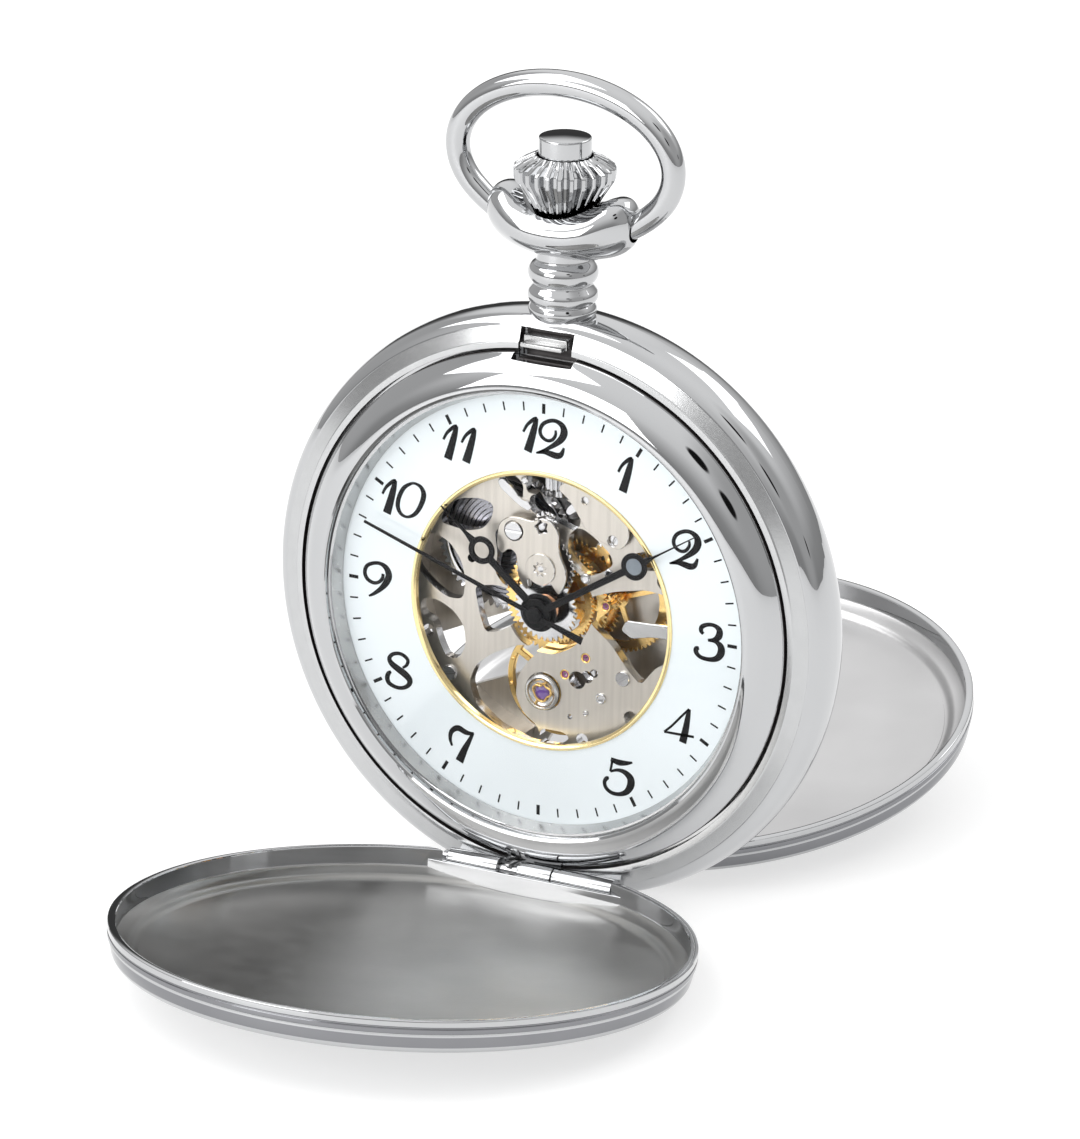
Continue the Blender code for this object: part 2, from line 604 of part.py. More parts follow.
fork = [(-1.85, 0.3), (-1.85, 0.12), (-1.6, 0.1), (-1.6, -0.1), (-1.85, -0.12), (-1.85, -0.3),
        (-1.45, -0.22), (-0.45, -0.18), (-0.3, -0.45), (0.72, -1.8), (0.98, -1.55), (0.38, -0.4),
        (0.45, 0), (0.38, 0.4), (0.98, 1.55), (0.72, 1.8), (-0.3, 0.45), (-0.45, 0.18), (-1.45, 0.22)]
fork = [(PALLET_AT[0] + u * math.cos(way) - v * math.sin(way),
         PALLET_AT[1] + u * math.sin(way) + v * math.cos(way)) for u, v in fork]
turning("pallet_fork", STEEL, PALLET_AT, -3.7, [
    (arbor(0.15, PALLET_AT, 8), -3.25, []), (fork, -3.08, []), (arbor(0.15, PALLET_AT, 8), -1.7, [])])
turning("balance_wheel", GOLD, BALANCE_AT, -5.4, [
    (arbor(0.22, BALANCE_AT), -4.3, []),
    (circle(4.4, 36, BALANCE_AT), -3.9, spokes(BALANCE_AT, 0.6, 3.95, 3, 12, 8)),
    (arbor(0.22, BALANCE_AT), -3.3, []), (arbor(0.5, BALANCE_AT, 14), -3.0, []),
    (arbor(0.2, BALANCE_AT), -1.7, [])])


def spiral(at, r0, r1, turns, thick, per_turn):
    count = int(turns * per_turn)
    rows = []
    for k in range(count + 1):
        a = 2 * PI * k / per_turn
        r = r0 + (r1 - r0) * k / count
        rows.append((a, r))
    outer = [(at[0] + (r + thick / 2) * math.cos(a), at[1] + (r + thick / 2) * math.sin(a))
             for a, r in rows]
    inner = [(at[0] + (r - thick / 2) * math.cos(a), at[1] + (r - thick / 2) * math.sin(a))
             for a, r in reversed(rows)]
    return outer + inner


plate("hairspring", spiral(BALANCE_AT, 0.55, 2.25, 4, 0.1, 12), -4.72, -4.56, BLUE, [],
      (*BALANCE_AT, -4.6))

# Barrel and winding work
drum = add("barrel", lathe([(0.75, -4.5), (5.4, -4.5), (5.4, -3.2), (4.95, -3.2), (4.95, -4.25),
                            (0.75, -4.25)], 28, (*BARREL_AT, 0)), GOLD, (*BARREL_AT, -4))
toothed = stack(bmesh.new(), -3.55, [(barrel_teeth, -3.25, [])], circle(5.2, 28, BARREL_AT))
bmesh.ops.recalc_face_normals(toothed, faces=toothed.faces)
shaped(drum, [("UNION", toothed)])
plate("mainspring", spiral(BARREL_AT, 1.0, 4.75, 4, 0.16, 14), -4.2, -3.35, BLUE, [],
      (*BARREL_AT, -4))
turning("ratchet_wheel", STEEL, BARREL_AT, -6.1, [
    (ratchet_teeth, -5.8, []), (arbor(0.6, BARREL_AT, 16), -3.0, [])])
crown_wheel = turning("crown_wheel", STEEL, CROWN_WHEEL_AT, -6.1, [
    (crown_teeth, -5.8, []), (circle(2.2, 16, CROWN_WHEEL_AT), -4.62, [])])
pivot = (-9.9, 6.2)
pawl = hull(circle(0.6, 14, pivot) + circle(0.16, 8, (-8.75, 6.55)))
plate("click", pawl, -6.08, -5.82, STEEL, [], (*pivot, -6))

# Bridges on the movement's back
z0, z1 = -5.7, -5.0
left = sector(2.3, 13.3, 62, 205, O, 20)
add("barrel_bridge", stack(bmesh.new(), z0, [
    (left, z1, [circle(0.72, 16, BARREL_AT), circle(2.4, 16, CROWN_WHEEL_AT)]),
    (sector(12.45, 13.2, 154, 202, O, 8), -2.43, [])]), PLATE)
arc = [(13.3 * math.cos(math.radians(a)), 13.3 * math.sin(math.radians(a)))
       for a in range(-62, 58, 7)]
apex = [(1.9 * math.cos(math.radians(a)), 1.9 * math.sin(math.radians(a)))
        for a in range(60, 299, 14)]
add("train_bridge", stack(bmesh.new(), z0, [
    (arc + apex, z1, [arbor(0.28, O), arbor(0.28, THIRD_AT), arbor(0.28, ESCAPE_AT)]),
    (sector(10.4, 13.2, -56, 50, O, 12), -2.43, [])]), PLATE)
rim = [(13.3 * math.cos(math.radians(a)), 13.3 * math.sin(math.radians(a)))
       for a in range(226, 262, 5)]
add("balance_cock", stack(bmesh.new(), z0, [
    (hull(rim + circle(1.35, 18, BALANCE_AT)), z1, [arbor(0.3, BALANCE_AT)]),
    (sector(12.1, 13.2, 229, 256, O, 6), -2.43, [])]), PLATE)
foot = (3.0, -7.3)
add("pallet_bridge", stack(bmesh.new(), -3.78, [
    (hull(circle(0.6, 14, PALLET_AT) + circle(0.65, 14, foot)), -3.48, [circle(0.2, 8, PALLET_AT)]),
    (circle(0.5, 12, foot), -2.43, [])]), STEEL)

# ---------------------------------------------------------------- stand on the ground
bpy.context.view_layer.update()
lowest = min((obj.matrix_world @ vertex.co).z for obj in bpy.data.objects if obj.type == "MESH"
             for vertex in obj.data.vertices)
ends = [(obj.matrix_world @ vertex.co).y for obj in bpy.data.objects if obj.type == "MESH"
        for vertex in obj.data.vertices]
watch.location = (0, -(min(ends) + max(ends)) / 2, -lowest)
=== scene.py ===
"""Looks of a skeleton pocket watch with a lid on each side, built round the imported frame.
Shapes are in the case frame, in millimetres: X to 3 o'clock, Y to 12, Z out of the dial."""
import math
import bmesh
import bpy
from mathutils import Matrix, Vector
from mathutils.geometry import tessellate_polygon


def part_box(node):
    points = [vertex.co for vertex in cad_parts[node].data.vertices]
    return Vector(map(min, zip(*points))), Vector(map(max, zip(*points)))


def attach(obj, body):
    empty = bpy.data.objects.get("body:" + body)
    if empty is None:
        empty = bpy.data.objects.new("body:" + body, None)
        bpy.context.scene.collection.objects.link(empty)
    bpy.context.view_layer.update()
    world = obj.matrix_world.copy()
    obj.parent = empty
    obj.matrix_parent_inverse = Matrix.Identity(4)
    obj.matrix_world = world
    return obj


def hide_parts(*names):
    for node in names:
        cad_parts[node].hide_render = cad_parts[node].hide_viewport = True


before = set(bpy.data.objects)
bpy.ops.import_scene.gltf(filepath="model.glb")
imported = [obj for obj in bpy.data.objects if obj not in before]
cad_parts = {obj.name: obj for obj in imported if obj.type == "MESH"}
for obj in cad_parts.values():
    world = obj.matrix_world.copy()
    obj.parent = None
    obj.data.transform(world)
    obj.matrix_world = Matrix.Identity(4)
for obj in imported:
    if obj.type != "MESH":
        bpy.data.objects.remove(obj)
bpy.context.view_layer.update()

PI = math.pi
MM = 0.001
MID_Z = -3.0
HINGE_Y = -21.68
HINGE_Z = 0.83
PIVOT_Y = 30.95
FRONT_OPEN = 84.7
REAR_OPEN = 78.8
BALANCE_AT = (-0.44, -7.2)
PALLET_AT = (1.40, -5.48)
BARREL_AT = (-5.0, 4.1)
THIRD_AT = (4.9 * math.cos(math.radians(8.6)), 4.9 * math.sin(math.radians(8.6)))
ESCAPE_AT = (4.97 * math.cos(math.radians(-50)), 4.97 * math.sin(math.radians(-50)))
MINUTE_AT = (-0.29, 3.25)
SETTING_AT = (-0.29, 3.25 + 21 * 3.263 / 20)
CROWN_WHEEL_AT = (0.0, 8.4)
O = (0.0, 0.0)
SEG = 192

dial_low, dial_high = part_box("dial")
CASE_FRAME = (Matrix.Translation((0, dial_low.y, (dial_low.z + dial_high.z) / 2))
              @ Matrix.Rotation(PI / 2, 4, "X") @ Matrix.Scale(MM, 4))


# ---------------------------------------------------------------- materials
def noise(tree, scale, detail=3.0, stretch=(1, 1, 1)):
    """Noise of about so many features to the millimetre, stretched by an axis scale."""
    coord = tree.nodes.new("ShaderNodeTexCoord")
    mapping = tree.nodes.new("ShaderNodeMapping")
    mapping.inputs["Scale"].default_value = [1000 * scale * s for s in stretch]
    texture = tree.nodes.new("ShaderNodeTexNoise")
    texture.inputs["Scale"].default_value = 1.0
    texture.inputs["Detail"].default_value = detail
    tree.links.new(coord.outputs["Object"], mapping.inputs["Vector"])
    tree.links.new(mapping.outputs["Vector"], texture.inputs["Vector"])
    return texture


def ramp(tree, source, stops):
    """A colour ramp through (position, colour or grey) stops."""
    node = tree.nodes.new("ShaderNodeValToRGB")
    while len(node.color_ramp.elements) < len(stops):
        node.color_ramp.elements.new(0.5)
    for element, (at, colour) in zip(node.color_ramp.elements, stops):
        element.position = at
        element.color = (*colour, 1.0) if len(colour) == 3 else (colour[0],) * 3 + (1.0,)
    tree.links.new(source, node.inputs["Fac"])
    return node


def remap(tree, source, low, high):
    """A value from 0 to 1 moved into a range."""
    node = tree.nodes.new("ShaderNodeMapRange")
    node.inputs["To Min"].default_value = low
    node.inputs["To Max"].default_value = high
    tree.links.new(source, node.inputs["Value"])
    return node


def finish(name, colour, metal, rough, spread=0.04, tint=0.04, grain=(1, 1, 1), scale=2.0,
           bump=0.0, bump_scale=12.0, detail=4.0, ior=1.5, coat=0.0):
    """A Principled material whose colour, roughness and bump vary with procedural noise."""
    made = bpy.data.materials.new(name)
    made.use_nodes = True
    tree = made.node_tree
    shader = tree.nodes["Principled BSDF"]
    shader.inputs["Metallic"].default_value = metal
    shader.inputs["IOR"].default_value = ior
    shader.inputs["Coat Weight"].default_value = coat
    soft = noise(tree, scale * 0.25, 2.0, grain)
    dark = tuple(c * (1 - tint) for c in colour)
    light = tuple(min(1.0, c * (1 + tint)) for c in colour)
    tone = ramp(tree, soft.outputs["Fac"], [(0.35, dark), (0.65, light)])
    tree.links.new(tone.outputs["Color"], shader.inputs["Base Color"])
    fine = noise(tree, scale, detail, grain)
    value = remap(tree, fine.outputs["Fac"], max(0.0, rough - spread), rough + spread)
    tree.links.new(value.outputs["Result"], shader.inputs["Roughness"])
    if bump:
        texture = noise(tree, bump_scale, detail, grain)
        node = tree.nodes.new("ShaderNodeBump")
        node.inputs["Strength"].default_value = bump
        node.inputs["Distance"].default_value = 0.00002
        tree.links.new(texture.outputs["Fac"], node.inputs["Height"])
        tree.links.new(node.outputs["Normal"], shader.inputs["Normal"])
    return made


CHROME = finish("polished_chrome", (0.50, 0.505, 0.513), 1.0, 0.035, 0.02, 0.01, scale=0.6)
RING = finish("brushed_ring", (0.52, 0.525, 0.53), 1.0, 0.20, 0.03, 0.02, (1, 1, 1), 3.0, 0.1, 14.0)
# Painted shade: the front lid's floor is a darker copy of the rear lid's satin steel
SHADED_FRONT_FLOOR = finish("satin_front_floor_painted_shade", (0.34, 0.337, 0.33), 1.0, 0.30, 0.05, 0.10, (1, 1, 1), 0.5,
                   0.25, 3.5)
REAR_FLOOR = finish("satin_rear_floor", (0.54, 0.537, 0.54), 1.0, 0.32, 0.05, 0.05, (1, 1, 1), 0.5,
                    0.25, 3.5)
# Painted shade: a darker copy of the polished chrome, for bands on the lids' outer walls
SHADE = finish("polished_shade", (0.24, 0.243, 0.255), 1.0, 0.06, 0.02, 0.02, scale=0.8)
BRUSHED = finish("brushed_steel", (0.56, 0.56, 0.56), 1.0, 0.26, 0.04, 0.03, (1, 1, 1), 3.0, 0.12, 14.0)
NICKEL = finish("grained_nickel", (0.60, 0.565, 0.515), 1.0, 0.33, 0.07, 0.05, (14, 1, 0.5), 0.8,
                0.35, 1.4)
STEEL = finish("polished_steel", (0.62, 0.62, 0.63), 1.0, 0.14, 0.06, 0.04, scale=2.0, bump=0.08)
GOLD = finish("gilt_brass", (1.0, 0.66, 0.26), 1.0, 0.20, 0.06, 0.06, scale=2.0, bump=0.1)
GOLD_RING = finish("gilt_ring", (1.0, 0.80, 0.42), 1.0, 0.16, 0.05, 0.05, scale=1.0, bump=0.1)
COPPER = finish("bronze", (0.90, 0.48, 0.27), 1.0, 0.26, 0.06, 0.1, scale=2.0)
SPRING = finish("blued_spring", (0.30, 0.30, 0.33), 1.0, 0.24, 0.08, 0.1, scale=2.0)
BLACK = finish("black_lacquer", (0.008, 0.008, 0.009), 0.0, 0.30, 0.05, 0.2, scale=3.0, bump=0.05,
               ior=1.25)
PRINT = finish("printed_black", (0.008, 0.008, 0.009), 0.0, 0.45, 0.05, 0.2, scale=6.0, ior=1.25)
PEARL = finish("pearl_dial", (0.83, 0.895, 0.925), 0.0, 0.16, 0.04, 0.015, (1, 1, 1), 0.5, 0.02, 1.0,
               coat=0.6)
JEWEL = finish("ruby", (0.22, 0.02, 0.16), 0.0, 0.06, 0.03, 0.2, scale=4.0, ior=1.76, coat=1.0)
JEWEL_BLUE = finish("cap_ruby", (0.13, 0.05, 0.30), 0.0, 0.05, 0.03, 0.2, scale=4.0, ior=1.76, coat=1.0)
# Painted shade: near-black for the gap at the bezel, the seat groove and the catch slot, where there is
# only shade
GAP_SHADE = finish("painted_gap_shade", (0.05, 0.045, 0.045), 0.6, 0.4, 0.1, 0.2, scale=2.0)
FACET = finish("grey_facet", (0.20, 0.23, 0.26), 0.4, 0.3, 0.05, 0.1, scale=4.0)


def crystal():
    """Thin clear glass: what it reflects follows the angle, the rest passes through."""
    made = finish("crystal_glass", (1.0, 1.0, 1.0), 1.0, 0.01, 0.01, 0.0, scale=0.3)
    tree = made.node_tree
    gloss = tree.nodes.new("ShaderNodeFresnel")
    gloss.inputs["IOR"].default_value = 1.18
    side = tree.nodes.new("ShaderNodeNewGeometry")
    outer = remap(tree, side.outputs["Backfacing"], 1.0, 0.0)
    once = tree.nodes.new("ShaderNodeMath")
    once.operation = "MULTIPLY"
    tree.links.new(gloss.outputs["Fac"], once.inputs[0])
    tree.links.new(outer.outputs["Result"], once.inputs[1])
    tree.links.new(once.outputs["Value"], tree.nodes["Principled BSDF"].inputs["Alpha"])
    return made


GLASS = crystal()


# ---------------------------------------------------------------- mesh helpers
def piece(name, bm, looks, body, replaced=(), place=None, angle=30):
    """Links a mesh made in the case frame, and rides it on its body."""
    bmesh.ops.remove_doubles(bm, verts=bm.verts, dist=1e-5)
    bmesh.ops.recalc_face_normals(bm, faces=bm.faces)
    bm.transform(place or CASE_FRAME)
    mesh = bpy.data.meshes.new(name)
    bm.to_mesh(mesh)
    bm.free()
    for look in looks if isinstance(looks, (list, tuple)) else [looks]:
        mesh.materials.append(look)
    mesh.shade_smooth()
    mesh.set_sharp_from_angle(angle=math.radians(angle))
    obj = bpy.data.objects.new(name, mesh)
    bpy.context.scene.collection.objects.link(obj)
    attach(obj, body)
    if replaced:
        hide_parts(*replaced)
    return obj


def polar(at, radius, angle):
    return at[0] + radius * math.cos(angle), at[1] + radius * math.sin(angle)


def turned(points, angle):
    """The outline turned about the origin."""
    c, s = math.cos(angle), math.sin(angle)
    return [(x * c - y * s, x * s + y * c) for x, y in points]


def circle(radius, count=48, at=(0, 0)):
    return [polar(at, radius, 2 * PI * k / count) for k in range(count)]


def skin(bm, rows, capped=True):
    """Faces between neighbouring rings of vertices, and across the two ends."""
    sides = len(rows[0])
    for low, high in zip(rows, rows[1:]):
        for j in range(sides):
            n = (j + 1) % sides
            bm.faces.new((low[j], low[n], high[n], high[j]))
    if capped:
        bm.faces.new(rows[0])
        bm.faces.new(rows[-1])


def corner(before, here, after, radius, share, steps):
    """Points of the arc in place of a corner, which takes at most a share of each side."""
    u, v = before - here, after - here
    reach = min(radius, share * u.length, share * v.length)
    p, q = here + u.normalized() * reach, here + v.normalized() * reach
    made = []
    for s in range(steps + 1):
        t = s / steps
        spot = p * (1 - t) ** 2 + here * 2 * t * (1 - t) + q * t * t
        made.append((spot.x, spot.y))
    return made


def signed(points):
    """The outline's area, which is negative where it runs clockwise."""
    return sum(x0 * y1 - x1 * y0 for (x0, y0), (x1, y1) in zip(points, points[1:] + points[:1])) / 2


def rounded(points, radius, steps=4):
    """The outline with its corners turned into arcs of up to a radius."""
    made = []
    count = len(points)
    for k in range(count):
        before, here, after = (Vector(points[(k + d) % count]) for d in (-1, 0, 1))
        if (before - here).length > 1e-6 and (after - here).length > 1e-6:
            made += corner(before, here, after, radius, 0.45, steps)
    return made


def inset(points, amount):
    """The outline moved into the material on its left, so holes are given clockwise."""
    made = []
    count = len(points)
    for k in range(count):
        before, here, after = (Vector(points[(k + d) % count]) for d in (-1, 0, 1))
        u, v = (here - before), (after - here)
        if u.length < 1e-9 or v.length < 1e-9:
            made.append((here.x, here.y))
            continue
        u, v = u.normalized(), v.normalized()
        n = Vector((-u.y - v.y, u.x + v.x))
        size = n.length
        if size < 0.3:
            made.append((here.x, here.y))
            continue
        n = n / size * min(amount * 2 / size, amount * 1.6)
        made.append((here.x + n.x, here.y + n.y))
    return made


def slab(outline, z0, z1, holes=(), chamfer=0.04, bm=None, top=0, side=0, edge=0, both=False):
    """A flat plate with chamfered edges on its dial side (and its back where both is set)."""
    bm = bm or bmesh.new()
    loops = [outline if signed(outline) > 0 else outline[::-1]]
    loops += [hole if signed(hole) < 0 else hole[::-1] for hole in holes]
    levels = [(z0, chamfer if both else 0.0), (z0 + chamfer, 0.0)] if both else [(z0, 0.0)]
    levels += [(z1 - chamfer, 0.0), (z1, chamfer)] if chamfer else [(z1, 0.0)]
    rings = []
    for z, amount in levels:
        row = []
        for loop in loops:
            points = inset(loop, amount) if amount else loop
            row.append([bm.verts.new((x, y, z)) for x, y in points])
        rings.append(row)
    for index, (low, high) in enumerate(zip(rings, rings[1:])):
        slanted = levels[index][1] != levels[index + 1][1]
        for a, b in zip(low, high):
            for k in range(len(a)):
                n = (k + 1) % len(a)
                face = bm.faces.new((a[k], a[n], b[n], b[k]))
                face.material_index = edge if slanted else side
    for row, turned in ((rings[0], True), (rings[-1], False)):
        flat = [v for loop in row for v in loop]
        vectors = [[Vector((v.co.x, v.co.y, 0)) for v in loop] for loop in row]
        for tri in tessellate_polygon(vectors):
            corners = [flat[i] for i in tri]
            if len(set(corners)) == 3:
                try:
                    face = bm.faces.new(corners)
                except ValueError:
                    continue
                face.material_index = top
    return bm


def arcs(profile, radius, steps=4):
    """A closed (radius, height) profile with its corners off the axis rounded."""
    made = []
    count = len(profile)
    for k in range(count):
        before, here, after = (Vector(profile[(k + d) % count][:2]) for d in (-1, 0, 1))
        own = profile[k][2] if len(profile[k]) > 2 else radius
        short = min((before - here).length, (after - here).length)
        if here.x < 1e-6 or own <= 0 or short < 1e-6:
            made.append((here.x, here.y))
        else:
            made += corner(before, here, after, own, 0.48, steps)
    return made


def lathe(profile, count=SEG, at=(0, 0, 0), axis="Z", wave=None, bm=None, paint=None):
    """Turns a closed (radius, height) profile; wave(radius, height, angle) may change the radius,
    and paint(radius, height) gives the material index of a face from its middle."""
    bm = bm or bmesh.new()
    turn = {"Z": Matrix.Identity(4), "Y": Matrix.Rotation(-PI / 2, 4, "X"),
            "X": Matrix.Rotation(PI / 2, 4, "Y")}[axis]
    place = Matrix.Translation(at) @ turn
    rings = []
    for r, h in profile:
        if r < 1e-6:
            rings.append([bm.verts.new(place @ Vector((0, 0, h)))])
            continue
        ring = []
        for k in range(count):
            a = 2 * PI * k / count
            reach = wave(r, h, a) if wave else r
            ring.append(bm.verts.new(place @ Vector((reach * math.cos(a), reach * math.sin(a), h))))
        rings.append(ring)
    for i, (low, high) in enumerate(zip(rings, rings[1:] + rings[:1])):
        if len(low) == 1 and len(high) == 1:
            continue
        here, there = profile[i], profile[(i + 1) % len(profile)]
        index = paint((here[0] + there[0]) / 2, (here[1] + there[1]) / 2) if paint else 0
        for k in range(count):
            n = (k + 1) % count
            if len(low) == 1:
                face = bm.faces.new((low[0], high[n], high[k]))
            elif len(high) == 1:
                face = bm.faces.new((low[k], low[n], high[0]))
            else:
                face = bm.faces.new((low[k], low[n], high[n], high[k]))
            face.material_index = index
    return bm


def box(x0, x1, y0, y1, z0, z1, soft=0.0, bm=None):
    bm = bm or bmesh.new()
    made = bmesh.ops.create_cube(bm, size=1)["verts"]
    bmesh.ops.scale(bm, vec=(x1 - x0, y1 - y0, z1 - z0), verts=made)
    bmesh.ops.translate(bm, vec=((x0 + x1) / 2, (y0 + y1) / 2, (z0 + z1) / 2), verts=made)
    if soft:
        edges = list({e for v in made for e in v.link_edges})
        bmesh.ops.bevel(bm, geom=edges, offset=soft, segments=2, profile=0.5, affect="EDGES")
    return bm


def tube(path, sides, bm=None):
    """A round tube along points (x, y, z, radius)."""
    bm = bm or bmesh.new()
    rings = []
    count = len(path)
    normal = None
    for k, (x, y, z, r) in enumerate(path):
        here = Vector((x, y, z))
        before = Vector(path[max(0, k - 1)][:3])
        after = Vector(path[min(count - 1, k + 1)][:3])
        along = (after - before).normalized()
        if normal is None:
            normal = along.cross(Vector((0, 0, 1)))
            if normal.length < 0.1:
                normal = along.cross(Vector((0, 1, 0)))
        normal = (normal - along * normal.dot(along)).normalized()
        other = along.cross(normal)
        rings.append([bm.verts.new(here + r * (normal * math.cos(2 * PI * j / sides)
                                               + other * math.sin(2 * PI * j / sides)))
                      for j in range(sides)])
    skin(bm, rings)
    return bm


def spline(points, per):
    """An open Catmull-Rom curve through points of any dimension, with so many steps between them."""
    made = []
    last = len(points) - 1
    for k in range(last):
        p = [points[min(max(k + d, 0), last)] for d in (-1, 0, 1, 2)]
        for s in range(per):
            t = s / per
            made.append(tuple(0.5 * (2 * b + (c - a) * t + (2 * a - 5 * b + 4 * c - d) * t * t
                                     + (3 * b - a - 3 * c + d) * t ** 3)
                              for a, b, c, d in zip(*p)))
    made.append(tuple(points[-1]))
    return made


def workpiece(bm):
    """A passing object with four empty material slots, for cutting."""
    mesh = bpy.data.meshes.new("work")
    bmesh.ops.recalc_face_normals(bm, faces=bm.faces)
    bm.to_mesh(mesh)
    bm.free()
    for _ in range(4):
        mesh.materials.append(None)
    obj = bpy.data.objects.new("work", mesh)
    bpy.context.scene.collection.objects.link(obj)
    return obj


def cut(bm, tools):
    """The mesh after exact cuts by other meshes, or a union where a tool is ("UNION", mesh)."""
    obj = workpiece(bm)
    for tool_bm in tools:
        kind = "DIFFERENCE"
        if isinstance(tool_bm, tuple):
            kind, tool_bm = tool_bm
        tool = workpiece(tool_bm)
        change = obj.modifiers.new("cut", "BOOLEAN")
        change.operation = kind
        change.solver = "EXACT"
        change.object = tool
        bpy.context.view_layer.update()
        graph = bpy.context.evaluated_depsgraph_get()
        fresh = bpy.data.meshes.new_from_object(obj.evaluated_get(graph))
        obj.modifiers.clear()
        obj.data = fresh
        bpy.data.objects.remove(tool, do_unlink=True)
    made = bmesh.new()
    made.from_mesh(obj.data)
    bpy.data.objects.remove(obj, do_unlink=True)
    return made


def rod(axis, radius, start, end, at, soft=0.06):
    profile = arcs([(0, start), (radius, start), (radius, end), (0, end)], soft, 3)
    return lathe(profile, 48, at, axis)


def flip(z, side):
    """A height on the dial side, or its mirror image on the rear side."""
    return z if side > 0 else 2 * MID_Z - z


def span(z0, z1, side):
    low, high = flip(z0, side), flip(z1, side)
    return (low, high) if low < high else (high, low)


def mirrored(profile):
    return [(p[0], 2 * MID_Z - p[1], *p[2:]) for p in profile]


# ---------------------------------------------------------------- case band
front = [(19.65, -0.9, 0), (21.18, -0.9, 0), (21.18, -0.03, 0.04), (21.66, -0.06, 0.02),
         (21.74, -0.17, 0.02), (22.80, -0.52, 0.05)]
bulge = spline([(22.84, -0.54), (23.32, -0.86), (23.66, -1.3), (23.88, -1.95), (23.97, -2.5),
                (24.0, -3.0)], 5)[:-1]
profile = arcs([p if len(p) > 2 else (*p, 0) for p in front], 0.04, 3) + bulge
closed = profile + [(24.0, MID_Z)] + mirrored(profile)[::-1]


def band_paint(r, z):
    front_z = z if z > MID_Z else 2 * MID_Z - z
    # Painted shade: the seat groove under the bezel is given the near-black material
    if 20.5 < r < 21.2 and -1.0 < front_z < -0.04:
        return 2
    return 1 if r < 22.78 and front_z > -0.88 else 0


band = lathe([p[:2] for p in closed], SEG, paint=band_paint)
steps = [box(-30, 30, -30, -22.95, -20, 20)]
for side in (1, -1):
    steps.append(box(-2.78, 1.98, -24, -20.9, *span(-0.75, 4.0, side)))
    steps.append(box(-2.3, 2.3, 20.4, 22.72, *span(-1.4, 4.0, side)) if side > 0
                 else box(-1.2, 1.2, 20.9, 21.6, *span(-0.7, 4.0, side)))
    for x0, x1 in ((-7.2, -2.8), (2.0, 7.2)):
        steps.append(("UNION", rod("X", 0.88, x0, x1, (0, HINGE_Y, flip(HINGE_Z, side)))))
        steps.append(("UNION", box(x0 + 0.1, x1 - 0.1, -22.3, -21.25, *span(-1.2, 0.5, side))))
    steps.append(rod("X", 0.44, -8.5, 8.5, (0, HINGE_Y, flip(HINGE_Z, side)), soft=0))
steps.append(rod("Y", 1.3, 18.0, 26.0, (0, 0, MID_Z), soft=0))
piece("band", cut(band, steps), [CHROME, RING, GAP_SHADE, BRUSHED], "case", ["case_band"],
      angle=24)

# ---------------------------------------------------------------- bezels and crystals
wall = [(17.46, 0.05, 0.02), (19.6, 0.05, 0), (19.6, -0.8, 0), (20.94, -0.8, 0), (20.94, -0.02, 0.12)]
dome = spline([(20.86, 0.14), (20.4, 0.70), (19.9, 1.18), (19.4, 1.5), (18.8, 1.74), (18.38, 1.82)],
              4)
lip = [(18.22, 1.80, 0.05), (18.12, 1.72, 0.05), (18.12, 1.18, 0.02), (17.85, 1.15, 0.04)]
BEZEL = [p[:2] for p in arcs(wall, 0.03, 3) + dome + arcs(lip, 0.03, 3)]


def bezel_paint(r, z):
    # Painted shade: the bezel's step down into the band is given the near-black material
    if r > 20.9 and z < -0.05:
        return 2
    return 1 if r < 17.9 else 0


piece("bezel_front", cut(lathe(BEZEL, SEG, paint=bezel_paint), [box(-2.6, 2.6, 20.3, 22, -1.0, 3)]),
      [CHROME, BRUSHED, GAP_SHADE, CHROME], "case", ["front_bezel"], angle=24)
piece("bezel_rear", lathe(mirrored(BEZEL), SEG), CHROME, "case", ["rear_bezel"],
      angle=24)
outer_arc = spline([(0, 2.6), (6, 2.48), (12, 2.12), (17.9, 1.66)], 6)
inner_arc = spline([(0, 1.95), (6, 1.83), (12, 1.50), (18.0, 1.22)], 6)
LENS = inner_arc + [(18.07, 1.3), (18.05, 1.58)] + outer_arc[::-1]
piece("crystal_front", lathe(LENS, 96), GLASS, "case", ["front_crystal"])
piece("crystal_rear", lathe(mirrored(LENS), 96), GLASS, "case", ["rear_crystal"])

# ---------------------------------------------------------------- lids
CHORD_Y = -20.6


def lid_profile():
    under = spline([(0, 3.1), (7, 3.02), (14, 2.75), (19.6, 2.36)], 6)
    step = arcs([(20.0, 2.33, 0.1), (20.45, 2.22, 0.2), (20.8, 1.86, 0.2), (21.3, 1.72, 0.3),
                 (21.9, 1.45, 0.15), (21.9, -0.05, 0.12), (22.22, -0.12, 0.1), (22.54, -0.05, 0.12),
                 (22.54, 0.42, 0.05), (22.47, 0.46, 0.02), (22.47, 0.56, 0.02), (22.54, 0.6, 0.05),
                 (22.54, 0.95, 0.06), (22.40, 1.02, 0.03), (22.36, 1.12, 0.03)], 0.05, 3)
    over = spline([(22.34, 1.2), (22.30, 1.7), (22.18, 2.2), (21.95, 2.5), (21.5, 2.66), (20.6, 2.8),
                   (18, 3.05), (14, 3.38), (7, 3.67), (0, 3.75)], 5)
    return [p[:2] for p in under + step + over]


